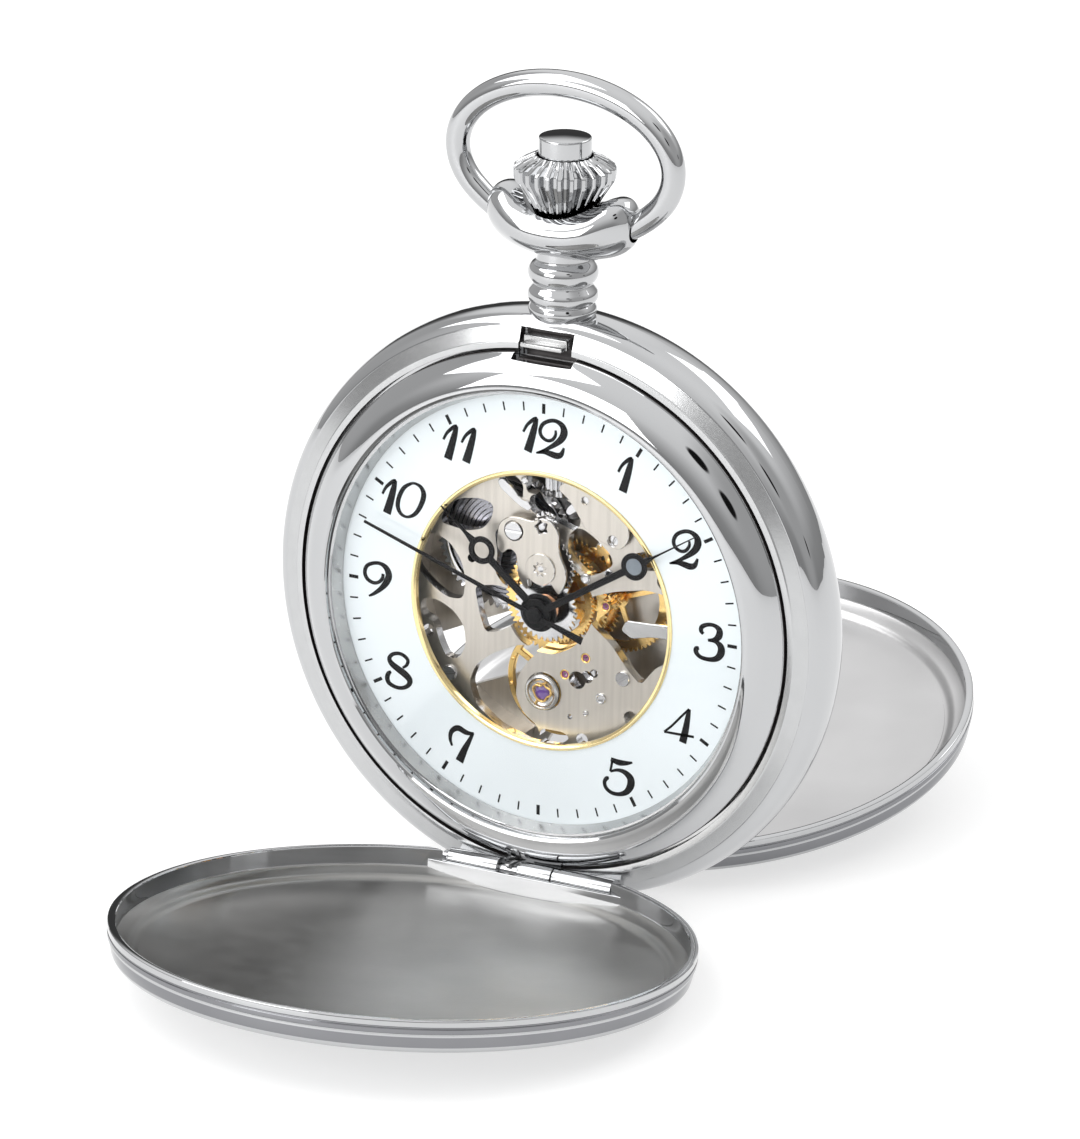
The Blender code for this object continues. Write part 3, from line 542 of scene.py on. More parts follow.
def lid(name, node, body, side, opened):
    profile = lid_profile()
    profile = profile if side > 0 else mirrored(profile)
    cover = lathe(profile, SEG)
    cover.faces.ensure_lookup_table()
    for face in cover.faces:
        middle = face.calc_center_median()
        r = math.hypot(middle.x, middle.y)
        z = flip(middle.z, side)
        under = 3.1 - 0.0018 * r * r
        face.material_index = 0
        if (r < 20.0 and z < under + 0.12) or (r < 21.86 and z < 2.3 and face.normal.z * side < 0.5):
            face.material_index = 1
        # Painted shade: bands of the lid's outer wall take the darker copy of the chrome
        elif r > 22.2 and (0.44 < z < 1.0 or z > 1.3):
            face.material_index = 2
    pin = (0, HINGE_Y, flip(HINGE_Z, side))
    cover = cut(cover, [
        box(-30, 30, -30, CHORD_Y, -20, 20),
        ("UNION", box(-9.0, 9.0, CHORD_Y, CHORD_Y + 0.42, *span(0.75, 2.7, side), 0.05)),
        ("UNION", rod("X", 0.88, -1.05, 1.9, pin)),
        ("UNION", box(-1.0, 1.85, HINGE_Y - 0.2, CHORD_Y + 0.3, *span(1.0, 1.68, side), 0.04)),
        rod("X", 0.44, -3, 3, pin, soft=0)])
    swing = (Matrix.Translation(pin) @ Matrix.Rotation(side * math.radians(opened), 4, "X")
             @ Matrix.Translation(-Vector(pin)))
    # Painted shade: the front lid takes the darker copy of the satin floor
    floor_look = SHADED_FRONT_FLOOR if side > 0 else REAR_FLOOR
    return piece(name, cover, [CHROME, floor_look, SHADE, CHROME], body, [node],
                 CASE_FRAME @ swing, 24)


lid("cover_front", "front_lid", "front_cover", 1, FRONT_OPEN)
lid("cover_rear", "rear_lid", "rear_cover", -1, REAR_OPEN)
for name, side in (("front", 1), ("rear", -1)):
    z = flip(HINGE_Z, side)
    pin_profile = arcs([(0, -7.75), (0.6, -7.75), (0.6, -7.3), (0.38, -7.3), (0.38, 7.3), (0.6, 7.3),
                        (0.6, 7.75), (0, 7.75)], 0.08, 3)
    piece(f"hinge_pin_{name}", lathe(pin_profile, 32, (0, HINGE_Y, z), "X"), STEEL, "case",
          [f"{name}_hinge_pin"])
    z0, z1 = span(-0.68, 1.35, side)
    bm = box(-2.65, -1.3, -21.28, -21.02, z0, z1)
    for vertex in bm.verts:
        if (vertex.co.z > 0) if side > 0 else (vertex.co.z < 2 * MID_Z):
            vertex.co.x = -2.2 if vertex.co.x < -2 else -1.8
    bmesh.ops.bevel(bm, geom=bm.edges[:], offset=0.05, segments=2, profile=0.5, affect="EDGES")
    piece(f"spring_tongue_{name}", bm, BRUSHED, "case", [f"{name}_lift_spring"])

# ---------------------------------------------------------------- catch
catch = box(-1.95, 1.75, 21.35, 22.15, -1.3, -0.3, 0.06)
box(-1.9, 1.7, 21.38, 21.72, -0.5, 0.5, 0.1, catch)
# Painted shade: a near-black box under and behind the hook, where the slot lies in shade
slot_shade = box(-2.2, 2.2, 20.35, 22.5, -1.62, -1.38)
box(-2.25, 2.25, 20.24, 20.36, -1.5, 0.1, 0.0, slot_shade)
piece("catch_painted_shade", slot_shade, GAP_SHADE, "case", ())
piece("catch_hook", catch, BRUSHED, "catch", ["front_catch"])

# ---------------------------------------------------------------- pendant
neck = [(0.8, 20.3), (1.2, 20.3), (1.2, 22.6)]
neck += spline([(1.9, 22.6), (2.3, 23.2), (2.62, 23.7), (2.66, 24.0), (2.5, 24.3), (2.42, 24.44),
                (2.62, 24.6), (2.74, 24.92), (2.70, 25.3), (2.5, 25.6), (2.32, 25.85), (2.28, 25.98),
                (2.42, 26.1), (2.62, 26.35), (2.74, 26.75), (2.68, 27.2), (2.45, 27.55), (2.2, 27.75),
                (2.08, 27.9), (2.04, 28.3), (2.0, 28.7)], 4)
neck += [(0.8, 28.7)]
piece("neck", lathe(neck, 96, (0, 0, MID_Z), "Y"), CHROME, "case", ["pendant_neck"])


def yoke():
    """A boat-shaped collar with a raised lobe at each end and a saddle between them."""
    stations = spline([(-6.15, 30.35, 0.85, 32.0), (-6.0, 29.8, 1.3, 32.7), (-5.5, 29.25, 1.9, 33.25),
                       (-4.8, 28.8, 2.45, 33.4), (-4.0, 28.5, 2.9, 33.2), (-3.0, 28.25, 3.25, 32.75),
                       (-1.6, 28.05, 3.5, 32.4), (0, 28.0, 3.58, 32.3)], 5)
    stations += [(-x, *rest) for x, *rest in reversed(stations[:-1])]
    bm = bmesh.new()
    rows = []
    sides = 48
    for x, bottom, half, top in stations:
        ring = []
        middle, tall = (bottom + top) / 2, (top - bottom) / 2
        for j in range(sides):
            a = 2 * PI * j / sides
            c, s = math.cos(a), math.sin(a)
            u = math.copysign(abs(c) ** 0.8, c)
            v = math.copysign(abs(s) ** 0.8, s)
            narrow = 1.0 - 0.42 * max(0.0, -v) ** 1.6 - 0.12 * max(0.0, v) ** 2
            ring.append(bm.verts.new((x, middle + tall * v, MID_Z + half * u * narrow)))
        rows.append(ring)
    skin(bm, rows, capped=False)
    for end, x in ((rows[0], -6.22), (rows[-1], 6.22)):
        middle = sum((v.co for v in end), Vector()) / sides
        tip = bm.verts.new((x, middle.y, middle.z))
        for j in range(sides):
            bm.faces.new((end[j], end[(j + 1) % sides], tip))
    return bm


STEM_BORE = rod("Y", 0.8, 26.0, 33.0, (0, 0, MID_Z), soft=0)
CROWN_SEAT = lathe([(0, 30.0), (2.05, 30.0), (2.45, 31.2), (2.85, 32.0), (3.4, 33.0), (3.8, 34.0),
                    (0, 34.0)], 96, (0, 0, MID_Z), "Y")
BOW_SOCKETS = [tube([(side * x, PIVOT_Y + rise, MID_Z, 1.03)
                     for x, rise in ((5.0, 0), (6.3, 0.1), (7.2, 0.9))], 32) for side in (1, -1)]
piece("yoke", cut(yoke(), [STEM_BORE, CROWN_SEAT] + BOW_SOCKETS), CHROME, "case", ["pendant_yoke"],
      angle=28)


def bow():
    path = [(5.1, PIVOT_Y, 0.8), (5.7, PIVOT_Y + 0.08, 0.84), (6.3, PIVOT_Y + 0.45, 0.9)]
    start, steps = math.radians(-38), 28
    for k in range(steps + 1):
        a = start + (PI - 2 * start) * k / steps
        radius = 0.95 + 0.12 * max(0.0, math.sin(a))
        path.append((9.26 * math.cos(a), 35.83 + 5.9 * math.sin(a), radius))
    path += [(-x, y, r) for x, y, r in reversed(path[:3])]
    smooth = spline([(x, y, MID_Z, r) for x, y, r in path], 4)
    return tube(smooth, 32)


piece("bow_loop", bow(), CHROME, "bow_ring", ["bow"], angle=50)

# ---------------------------------------------------------------- crown, button and stem
FLUTES = 26


def fluted(r, h, a):
    deep = 0.62 * min(1.0, max(0.0, (r - 2.15) / 1.2))
    wave = abs(math.sin(a * FLUTES / 2))
    return r - deep * min(1.0, max(0.0, (wave - 0.5) / 0.42))


crown = arcs([(0.62, 30.35, 0), (1.75, 30.35, 0.1), (2.15, 31.3, 0.2), (3.0, 32.9, 0.3),
              (3.94, 34.35, 0.12), (3.98, 35.25, 0.12), (3.3, 35.72, 0.2), (2.34, 36.2, 0.1),
              (2.2, 36.15, 0.03), (2.2, 35.3, 0), (0, 35.3), (0, 34.4), (0.62, 34.4, 0)], 0.1, 4)
piece("winding_crown", lathe(crown, FLUTES * 16, (0, 0, MID_Z), "Y", fluted), CHROME, "crown_knob",
      ["crown"], angle=40)
cap = arcs([(0, 35.9), (2.06, 35.9, 0.05), (2.06, 37.62, 0.16), (0, 37.76)], 0.1, 5)
piece("push_cap", lathe(cap, 96, (0, 0, MID_Z), "Y"), CHROME, "button", ["release_button"])
stem = arcs([(0, 8.5), (0.55, 8.5, 0.15), (0.55, 33.2, 0.1), (0, 33.2)], 0.1, 3)
piece("stem_rod", lathe(stem, 32, (0, 0, MID_Z), "Y"), STEEL, "stem", ["winding_stem"])

# ---------------------------------------------------------------- dial
dial = slab(circle(18.8, SEG), -0.4, 0.0, [circle(11.25, SEG)], 0.03)
piece("dial_plate", dial, PEARL, "case", ["dial"])
opening = arcs([(10.98, -0.4, 0), (11.2, -0.4, 0), (11.2, 0.03, 0), (11.4, 0.03, 0.02),
                (11.36, 0.12, 0.04), (11.2, 0.14, 0.04), (10.98, 0.06, 0.04)], 0.03, 3)
piece("opening_ring", lathe(opening, SEG), GOLD_RING, "case", ["dial_opening_ring"])
ring = arcs([(13.7, -2.35, 0), (19.4, -2.35, 0), (19.4, -0.45, 0), (13.7, -0.45, 0.1)], 0.1, 3)
piece("spacer_ring", lathe(ring, 128), BRUSHED, "case", ["movement_ring"])

PRINT_Z = (-0.01, 0.014)
ticks = bmesh.new()
for minute in range(60):
    if minute % 5 == 0:
        half, r0, r1 = 0.14, 16.12, 16.93
    else:
        half, r0, r1 = 0.065, 16.22, 16.93
    mark = [(r0, -half), (r1, -half), (r1, half), (r0, half)]
    slab(turned(mark, 2 * PI * minute / 60), *PRINT_Z, (), 0, ticks)
piece("minute_track", ticks, PRINT, "case", ())

# Each numeral's width and strokes, as (x, y, width) points on a height of 1, slanted forward
GLYPHS = {
    "1": (0.46, [[(0.02, 0.54, .055), (0.14, 0.76, .07), (0.34, 0.95, .085), (0.44, 1.0, .05)],
                 [(0.43, 0.99, .07), (0.37, 0.76, .13), (0.27, 0.38, .165), (0.16, 0.0, .19)]]),
    "2": (0.86, [[(0.60, 0.74, .05), (0.60, 0.60, .07), (0.50, 0.45, .075), (0.34, 0.41, .075),
                  (0.18, 0.50, .08), (0.13, 0.67, .085), (0.22, 0.86, .085), (0.42, 0.98, .085),
                  (0.62, 1.0, .09), (0.80, 0.90, .13), (0.86, 0.72, .165), (0.78, 0.52, .15),
                  (0.58, 0.33, .11), (0.30, 0.14, .07), (0.02, 0.0, .04)],
                 [(0.06, 0.01, .04), (0.26, 0.07, .10), (0.44, 0.05, .13), (0.64, 0.02, .14),
                  (0.78, 0.08, .11), (0.86, 0.28, .05)]]),
    "3": (0.80, [[(0.24, 0.70, .07), (0.17, 0.78, .095), (0.20, 0.90, .10), (0.38, 0.99, .085),
                  (0.58, 0.99, .09), (0.72, 0.88, .14), (0.70, 0.70, .15), (0.56, 0.58, .10),
                  (0.38, 0.545, .06)],
                 [(0.40, 0.55, .05), (0.62, 0.54, .09), (0.77, 0.42, .15), (0.78, 0.24, .165),
                  (0.66, 0.07, .13), (0.44, 0.0, .095), (0.18, 0.02, .09), (0.04, 0.13, .105),
                  (0.04, 0.24, .11), (0.12, 0.27, .07)]]),
    "4": (0.94, [[(0.76, 1.0, .05), (0.52, 0.74, .05), (0.24, 0.42, .05), (0.02, 0.215, .05)],
                 [(0.02, 0.215, .05), (0.40, 0.22, .055), (0.92, 0.225, .055)],
                 [(0.76, 1.0, .08), (0.72, 0.72, .12), (0.66, 0.36, .15), (0.58, 0.0, .17)]]),
    "5": (0.90, [[(0.20, 0.98, .09), (0.44, 0.93, .13), (0.66, 0.95, .10), (0.86, 1.0, .04)],
                 [(0.25, 0.96, .06), (0.22, 0.78, .055), (0.19, 0.62, .05)],
                 [(0.19, 0.62, .05), (0.40, 0.70, .07), (0.62, 0.68, .11), (0.80, 0.54, .16),
                  (0.82, 0.34, .17), (0.70, 0.12, .13), (0.48, 0.01, .09), (0.24, 0.01, .085),
                  (0.07, 0.12, .085), (0.02, 0.28, .085), (0.08, 0.40, .09), (0.15, 0.42, .06)]]),
    "7": (0.78, [[(0.09, 0.42, .05), (0.03, 0.60, .075), (0.05, 0.80, .10), (0.16, 0.93, .12),
                  (0.30, 0.97, .13), (0.48, 0.90, .12), (0.62, 0.88, .09), (0.76, 0.90, .06)],
                 [(0.74, 0.91, .06), (0.62, 0.66, .10), (0.46, 0.34, .15), (0.32, 0.0, .19)]]),
    "8": (0.76, [[(0.50, 0.60, .05), (0.62, 0.70, .07), (0.66, 0.84, .085), (0.56, 0.95, .085),
                  (0.38, 1.0, .08), (0.18, 0.94, .085), (0.08, 0.80, .10), (0.16, 0.66, .13),
                  (0.36, 0.54, .15), (0.58, 0.42, .16), (0.72, 0.28, .14), (0.68, 0.12, .10),
                  (0.50, 0.01, .085), (0.28, 0.0, .085), (0.08, 0.08, .10), (0.02, 0.22, .11),
                  (0.06, 0.36, .10), (0.14, 0.42, .06)]]),
    "9": (0.80, [[(0.64, 0.72, .07), (0.62, 0.58, .08), (0.50, 0.45, .075), (0.32, 0.41, .08),
                  (0.14, 0.50, .09), (0.07, 0.68, .09), (0.14, 0.87, .085), (0.34, 0.98, .08),
                  (0.56, 1.0, .085), (0.74, 0.90, .13), (0.82, 0.70, .155), (0.74, 0.48, .145),
                  (0.56, 0.26, .105), (0.34, 0.08, .07), (0.20, 0.0, .04)]]),
    "0": (0.84, [[(0.46, 1.0, .06), (0.22, 0.84, .09), (0.06, 0.54, .10), (0.02, 0.26, .10),
                  (0.12, 0.06, .08), (0.32, 0.0, .06), (0.56, 0.13, .09), (0.74, 0.42, .11),
                  (0.82, 0.72, .12), (0.74, 0.92, .09), (0.58, 1.0, .06), (0.46, 1.0, .06)]]),
}


def stroke(bm, points, place, z0, z1, heavy=1.32):
    """A flat ribbon of varying width, closed on all sides."""
    line = [(x, y, w * heavy) for x, y, w in spline(points, 6)]
    left, right = [], []
    for k, (x, y, w) in enumerate(line):
        before, after = line[max(0, k - 1)], line[min(len(line) - 1, k + 1)]
        along = Vector((after[0] - before[0], after[1] - before[1])).normalized()
        left.append((x - along.y * w / 2, y + along.x * w / 2))
        right.append((x + along.y * w / 2, y - along.x * w / 2))
    rows = []
    for (lx, ly), (rx, ry) in zip(left, right):
        a, b = place(lx, ly), place(rx, ry)
        rows.append([bm.verts.new((*a, z0)), bm.verts.new((*b, z0)),
                     bm.verts.new((*b, z1)), bm.verts.new((*a, z1))])
    skin(bm, rows)


NUMERAL_TALL = 2.85
numerals = bmesh.new()
PLACES = {"12": (0.0, 14.27), "1": (7.1, 12.37), "2": (12.2, 7.24), "3": (14.5, 0.03),
          "4": (12.14, -7.2), "5": (7.0, -12.5), "7": (-6.8, -12.35), "8": (-12.45, -7.15),
          "9": (-14.6, 0.03), "10": (-12.2, 7.15), "11": (-7.3, 12.5)}
for label, (cx, cy) in PLACES.items():
    widths = [GLYPHS[g][0] for g in label]
    gap = -0.06 if label == "12" else 0.1 if label == "11" else 0.02
    total = sum(widths) + gap * (len(label) - 1)
    start = -total / 2
    for glyph, width in zip(label, widths):
        for points in GLYPHS[glyph][1]:
            def put(x, y, start=start):
                return (cx + NUMERAL_TALL * (start + x), cy + NUMERAL_TALL * (y - 0.5))
            stroke(numerals, points, put, *PRINT_Z)
        start += width + gap
piece("hour_numerals", numerals, PRINT, "case", ())


# ---------------------------------------------------------------- hands
# Where the hands point, in degrees clockwise from 12
HOUR_WAY = 310.2
MINUTE_WAY = 57.6
SECONDS_WAY = 289


def hand(name, node, body, degrees, reach, ring_at, ring_r, hub, hub_bore, z0, z1, width, hollow):
    """A tapered hand with a ring near its tip, open or filled with a grey facet."""
    w = width / 2
    eye = [polar((0, ring_at), ring_r, math.radians(-75 + 150 * k / 20)) for k in range(21)]
    right = [(w, 0.95 * hub), (w * 0.95, (hub + ring_at) / 2)] + eye
    right += [(0.42 * w, ring_at + ring_r + 0.7), (0.26 * w, ring_at + ring_r + 1.6)]
    outline = [(0.04, reach), (-0.04, reach)] + [(-x, y) for x, y in reversed(right)]
    around = [polar(O, hub, math.radians(110 + 320 * k / 40)) for k in range(41)]
    way = math.radians(-degrees)
    holes = [circle(hub_bore, 32), turned(circle(ring_r * 0.6, 32, (0, ring_at)), way)]
    bm = slab(turned(outline + around + right, way), z0, z1, holes, 0.05)
    if not hollow:
        facet = turned(circle(ring_r * 0.66, 32, (0, ring_at)), way)
        slab(facet, z0 + 0.02, z1 - 0.04, (), 0.03, bm, 1, 1, 1)
    return piece(name, bm, [BLACK, FACET], body, [node])


hand("hand_hour", "hour_hand", "hours", HOUR_WAY, 11.3, 6.6, 1.12, 1.55, 0.88, 0.32, 0.52, 0.62,
     True)
hand("hand_minute", "minute_hand", "minutes", MINUTE_WAY, 16.2, 9.95, 1.1, 1.2, 0.58, 0.72, 0.9,
     0.55, False)
needle = [(0.2, 0.6), (0.1, 15.9), (-0.1, 15.9), (-0.2, 0.6)]
left_arc = [polar(O, 0.66, math.radians(110 + 140 * k / 12)) for k in range(13)]
tail = [(-0.17, -0.65), (-0.3, -4.4), (0.3, -4.4), (0.17, -0.65)]
right_arc = [(-x, y) for x, y in reversed(left_arc)]
outline = turned(needle + left_arc + tail + right_arc, math.radians(-SECONDS_WAY))
bm = slab(outline, 1.06, 1.2, (), 0.03)
lathe(arcs([(0, 1.1), (0.62, 1.1, 0.03), (0.6, 1.32, 0.08), (0, 1.36)], 0.05, 3), 40, bm=bm)
piece("hand_seconds", bm, BLACK, "seconds", ["seconds_hand"])

# ---------------------------------------------------------------- movement
def heading(start, end):
    """The angle of the line from one point to another."""
    return math.atan2(end[1] - start[1], end[0] - start[0])


def cog(count, pitch_r, module, at, start, add_k=0.75, ded_k=1.2):
    """A toothed outline whose flanks narrow to rounded tips, one tooth centred on the angle start."""
    points = []
    for k in range(count):
        middle = start + 2 * PI * k / count
        for share, reach in ((-0.42, -ded_k), (-0.25, -0.1), (-0.17, 0.45), (-0.06, add_k),
                             (0.06, add_k), (0.17, 0.45), (0.25, -0.1), (0.42, -ded_k)):
            a, r = middle + 2 * PI * share / count, pitch_r + reach * module
            points.append(polar(at, r, a))
    return points


def pair(count_a, at_a, count_b, at_b, start_a=None):
    """Outlines of two gears in mesh, and the angle of a tooth of each."""
    gap = math.dist(at_a, at_b)
    module = 2 * gap / (count_a + count_b)
    way = heading(at_a, at_b)
    first = way if start_a is None else start_a
    pitch = 2 * PI / count_a
    off = (first - way + pitch / 2) % pitch - pitch / 2
    second = way + PI + PI / count_b - off * count_a / count_b
    return (cog(count_a, module * count_a / 2, module, at_a, first),
            cog(count_b, module * count_b / 2, module, at_b, second), first, second)


def spokes(at, r0, r1, count, width, start=0.0):
    """Windows between straight spokes of one width, with rounded corners."""
    windows = []
    for k in range(count):
        a0, a1 = start + 360 * k / count, start + 360 * (k + 1) / count
        inner = math.degrees(math.asin(min(0.9, width / 2 / r0)))
        outer = math.degrees(math.asin(width / 2 / r1))
        steps = 14
        rim = [math.radians(a0 + outer + (a1 - a0 - 2 * outer) * s / steps) for s in range(steps + 1)]
        hub = [math.radians(a1 - inner - (a1 - a0 - 2 * inner) * s / 6) for s in range(7)]
        windows.append([polar(at, r1, a) for a in rim] + [polar(at, r0, a) for a in hub])
    return windows


def shaft(at, *levels, bm=None, count=32, hollow=0.0):
    """Stacked round steps about an axis, as (radius, from, to), each with softened edges."""
    bm = bm or bmesh.new()
    for radius, z0, z1 in levels:
        profile = [(hollow, z0), (radius, z0, 0.04), (radius, z1, 0.04), (hollow, z1)]
        lathe(arcs(profile, 0.0, 2), count, (*at, 0), bm=bm)
    return bm


SLOT = 0.13


def screw_head(at, radius, z0, tall, slot_turn=0.0):
    """A slotted screw head with a polished chamfer: a disc under two halves."""
    start = math.asin(SLOT / 2 / radius)
    upper = [polar(O, radius, start + (PI - 2 * start) * k / 16) for k in range(17)]
    lower = [(-x, -y) for x, y in upper]

    def put(points):
        return [(at[0] + x, at[1] + y) for x, y in turned(points, slot_turn)]

    bm = slab(put(circle(radius, 36)), z0, z0 + tall * 0.55, (), 0)
    slab(put(upper), z0 + tall * 0.5, z0 + tall, (), 0.04, bm)
    slab(put(lower), z0 + tall * 0.5, z0 + tall, (), 0.04, bm)
    return bm


centre_teeth, third_leaves, _, _ = pair(64, O, 8, THIRD_AT)
third_teeth, fourth_leaves, _, _ = pair(60, THIRD_AT, 8, O)
fourth_teeth, escape_leaves, _, _ = pair(60, O, 6, ESCAPE_AT)
barrel_teeth, centre_leaves, _, _ = pair(64, BARREL_AT, 8, O)
cannon_leaves, minute_teeth, _, minute_start = pair(10, O, 30, MINUTE_AT)
minute_leaves, hour_teeth, _, _ = pair(8, MINUTE_AT, 32, O)
_, setting_teeth, _, _ = pair(30, MINUTE_AT, 12, SETTING_AT, minute_start)
ratchet_teeth, crown_teeth, _, _ = pair(36, BARREL_AT, 24, CROWN_WHEEL_AT)

# Main plate: a disc with the windows of the skeleton cut out
SKELETON = [
    [(-9.7, 5.2), (-9.3, 6.5), (-8.0, 7.5), (-6.2, 7.8), (-5.0, 7.5), (-5.1, 6.4), (-5.9, 5.3),
     (-7.4, 4.9)],
    [(-11.8, 3.6), (-10.2, 4.3), (-8.8, 3.7), (-7.8, 2.4), (-7.4, 0.9), (-7.6, -0.8), (-9.0, -0.9),
     (-10.4, -0.1), (-11.8, 1.2)],
    [(-4.9, 5.4), (-3.9, 5.9), (-3.4, 4.5), (-2.3, 3.9), (-1.9, 2.6), (-2.4, 1.0), (-4.0, 0.9),
     (-4.9, 2.0), (-4.6, 3.3)],
    [(-6.6, 0.5), (-4.6, 0.9), (-2.8, 0.6), (-2.7, -0.6), (-3.2, -2.2), (-4.6, -3.0), (-5.6, -3.2),
     (-6.2, -1.6)],
    [(-3.7, 1.0), (-3.0, 2.6), (-1.7, 3.6), (0, 3.9), (1.7, 3.6), (3.1, 2.6), (3.8, 1.2),
     (3.8, -0.5), (3.2, -1.9), (2.0, -3.2), (0.5, -4.0), (-1.2, -4.0), (-2.7, -3.3), (-3.5, -2.2),
     (-3.9, -0.8)],
    [(-1.6, -3.7), (-2.6, -3.7), (-4.9, -4.8), (-6.4, -6.0), (-7.0, -7.6), (-6.4, -9.3), (-4.4, -10.8),
     (-1.6, -11.7), (-0.5, -11.6), (-0.9, -10.2), (-2.2, -9.3), (-2.9, -7.9), (-2.7, -6.3),
     (-1.9, -5.0), (-0.9, -4.0)],
    [(3.5, 1.3), (5.6, 2.1), (8.3, 2.7), (11.5, 2.4), (11.5, -2.6), (9.4, -3.4), (8.0, -5.2),
     (6.9, -4.2), (5.4, -2.3), (3.6, -0.9), (3.3, 0.1)],
    [(1.6, 6.2), (2.6, 6.9), (4.0, 6.1), (5.2, 5.1), (5.5, 4.3), (4.6, 3.5), (3.2, 2.9), (2.0, 3.8),
     (1.5, 4.8)],
    [(6.7, 5.3), (8.4, 5.9), (9.7, 5.6), (9.7, 4.5), (7.2, 4.1)],
    [(-2.2, 8.9), (1.9, 8.9), (1.9, 12.6), (-2.2, 12.6)],
    [(-1.9, 8.8), (-0.3, 9.1), (1.6, 8.9), (2.7, 7.4), (2.2, 6.4), (1.0, 6.8), (-0.4, 7.2),
     (-1.8, 7.4)],
    [(-11.3, -1.3), (-9.9, -1.2), (-8.4, -1.9), (-7.5, -3.0), (-7.3, -4.6), (-7.9, -5.8),
     (-9.0, -5.9), (-9.6, -4.8), (-10.2, -3.0), (-11.4, -2.6)],
    [(-4.7, 9.9), (-3.5, 10.4), (-2.4, 9.6), (-2.5, 8.3), (-3.1, 8.2), (-4.2, 8.8)],
    [(-0.7, -10.3), (1.4, -10.3), (1.9, -10.7), (0.9, -11.6), (-0.7, -11.6)],
]
SKELETON_HOLES = [(-10.6, -3.9, 0.5), (-6.9, 2.7, 0.34), (9.9, 3.6, 0.65), (10.3, -4.4, 0.55),
                  (7.2, -8.1, 0.6), (3.0, -10.6, 0.5), (-8.7, -7.1, 0.62), (2.5, -5.75, 0.72),
                  (3.35, -5.35, 0.5), (3.95, -4.95, 0.34), (-8.6, 9.2, 0.3), (1.9, -8.9, 0.22),
                  (7.9, 7.6, 0.3)]
plate = slab(circle(13.5, 128), -2.4, -1.5, (), 0)
cutters = [slab(rounded(points, 0.55, 5), -3.0, -1.0, (), 0) for points in SKELETON]
cutters += [slab(circle(r, 32, (x, y)), -3.0, -1.0, (), 0) for x, y, r in SKELETON_HOLES]
cutters += [slab(circle(r, 40, at), -3.0, -1.0, (), 0) for r, at in
            ((0.42, THIRD_AT), (0.42, ESCAPE_AT), (0.42, PALLET_AT), (1.56, BALANCE_AT))]
plate = cut(plate, cutters)
bmesh.ops.recalc_face_normals(plate, faces=plate.faces)
rims = [e for e in plate.edges if all(v.co.z > -1.501 for v in e.verts) and len(e.link_faces) == 2
        and e.calc_face_angle(0) > 1.2]
bmesh.ops.bevel(plate, geom=rims, offset=0.055, segments=1, affect="EDGES", clamp_overlap=True)
for face in plate.faces:
    face.material_index = 1 if 0.2 < face.normal.z < 0.9 or abs(face.normal.z) < 0.2 else 0
piece("mainplate", plate, [NICKEL, STEEL, NICKEL, NICKEL], "case", ["main_plate"])

# Jewels in the plate
jewels = bmesh.new()
cups = bmesh.new()
for at in (THIRD_AT, ESCAPE_AT, PALLET_AT):
    lathe(arcs([(0.1, -1.75, 0), (0.27, -1.75, 0), (0.27, -1.56, 0.05), (0.1, -1.6, 0)], 0.03, 3), 32,
          (*at, 0), bm=jewels)
    lathe(arcs([(0.275, -1.8, 0), (0.415, -1.8, 0), (0.415, -1.47, 0.04), (0.30, -1.5, 0.03),
                (0.275, -1.56, 0)], 0.03, 3), 32, (*at, 0), bm=cups)
# A gilt wheel of the motion work, with the steel bar beside the third wheel
motion = slab(cog(58, 3.3, 0.114, O, 0), -2.66, -2.46, spokes(O, 0.95, 2.6, 5, 0.5), 0.03)
piece("motion_wheel", motion, GOLD, "minutes", ())
bar = [(5.9, -1.2), (6.3, -0.35), (8.6, -0.25), (12.9, 0.0), (12.9, -1.15), (8.6, -1.35), (6.8, -1.75)]
piece("side_bar", slab(rounded(bar, 0.25, 4), -2.36, -2.1, (), 0.05, edge=1), [BRUSHED, STEEL], "case",
      ())
piece("plate_jewels", jewels, JEWEL, "case", ())
piece("jewel_cups", cups, GOLD, "case", ())
# The shock setting of the balance
setting = lathe(arcs([(0.45, -1.46, 0), (1.45, -1.46, 0.02), (1.45, -1.12, 0.06), (1.22, -1.02, 0.06),
                      (1.12, -1.22, 0.05), (0.95, -1.3, 0.05), (0.45, -1.3, 0)], 0.03, 3), 64,
                (*BALANCE_AT, 0))
piece("shock_setting", setting, BRUSHED, "case", ["balance_jewel_setting"])
cap_jewel = lathe(arcs([(0, -1.42), (0.62, -1.42, 0), (0.62, -1.24, 0.1), (0, -1.18)], 0.05, 4), 40,
                  (*BALANCE_AT, 0))
piece("cap_jewel", cap_jewel, JEWEL_BLUE, "case", ())
bx, by = BALANCE_AT
loop = [(bx + x, by + y, -1.13, 0.085) for x, y in
        ((0.45, 0.95), (0.24, 0.72), (0.42, 0.5), (0.78, 0.3), (0.8, -0.1), (0.5, -0.3), (0.32, -0.62),
         (-0.05, -0.72), (-0.42, -0.5), (-0.62, -0.12), (-0.75, 0.2), (-0.5, 0.55), (-0.05, 0.55),
         (0.12, 0.8))]
lyre = tube(spline(loop, 5), 10)
tube([(bx - 0.5, by - 0.95, -1.13, 0.085), (bx - 0.3, by - 0.6, -1.13, 0.085)], 10, lyre)
piece("lyre_spring", lyre, GOLD, "case", ())

# Jewels in the bridges at the back
back_cups, back_jewels = bmesh.new(), bmesh.new()
for at in (THIRD_AT, ESCAPE_AT, O, BALANCE_AT, PALLET_AT):
    lathe(arcs([(0.28, -5.77, 0.02), (0.46, -5.77, 0.03), (0.46, -5.55, 0), (0.28, -5.55, 0)], 0.02, 2),
          32, (*at, 0), bm=back_cups)
    lathe(arcs([(0, -5.73), (0.27, -5.73, 0.03), (0.27, -5.55, 0), (0, -5.55)], 0.03, 3), 32,
          (*at, 0), bm=back_jewels)
piece("back_cups", back_cups, GOLD, "case", ())
piece("back_jewels", back_jewels, JEWEL, "case", ())

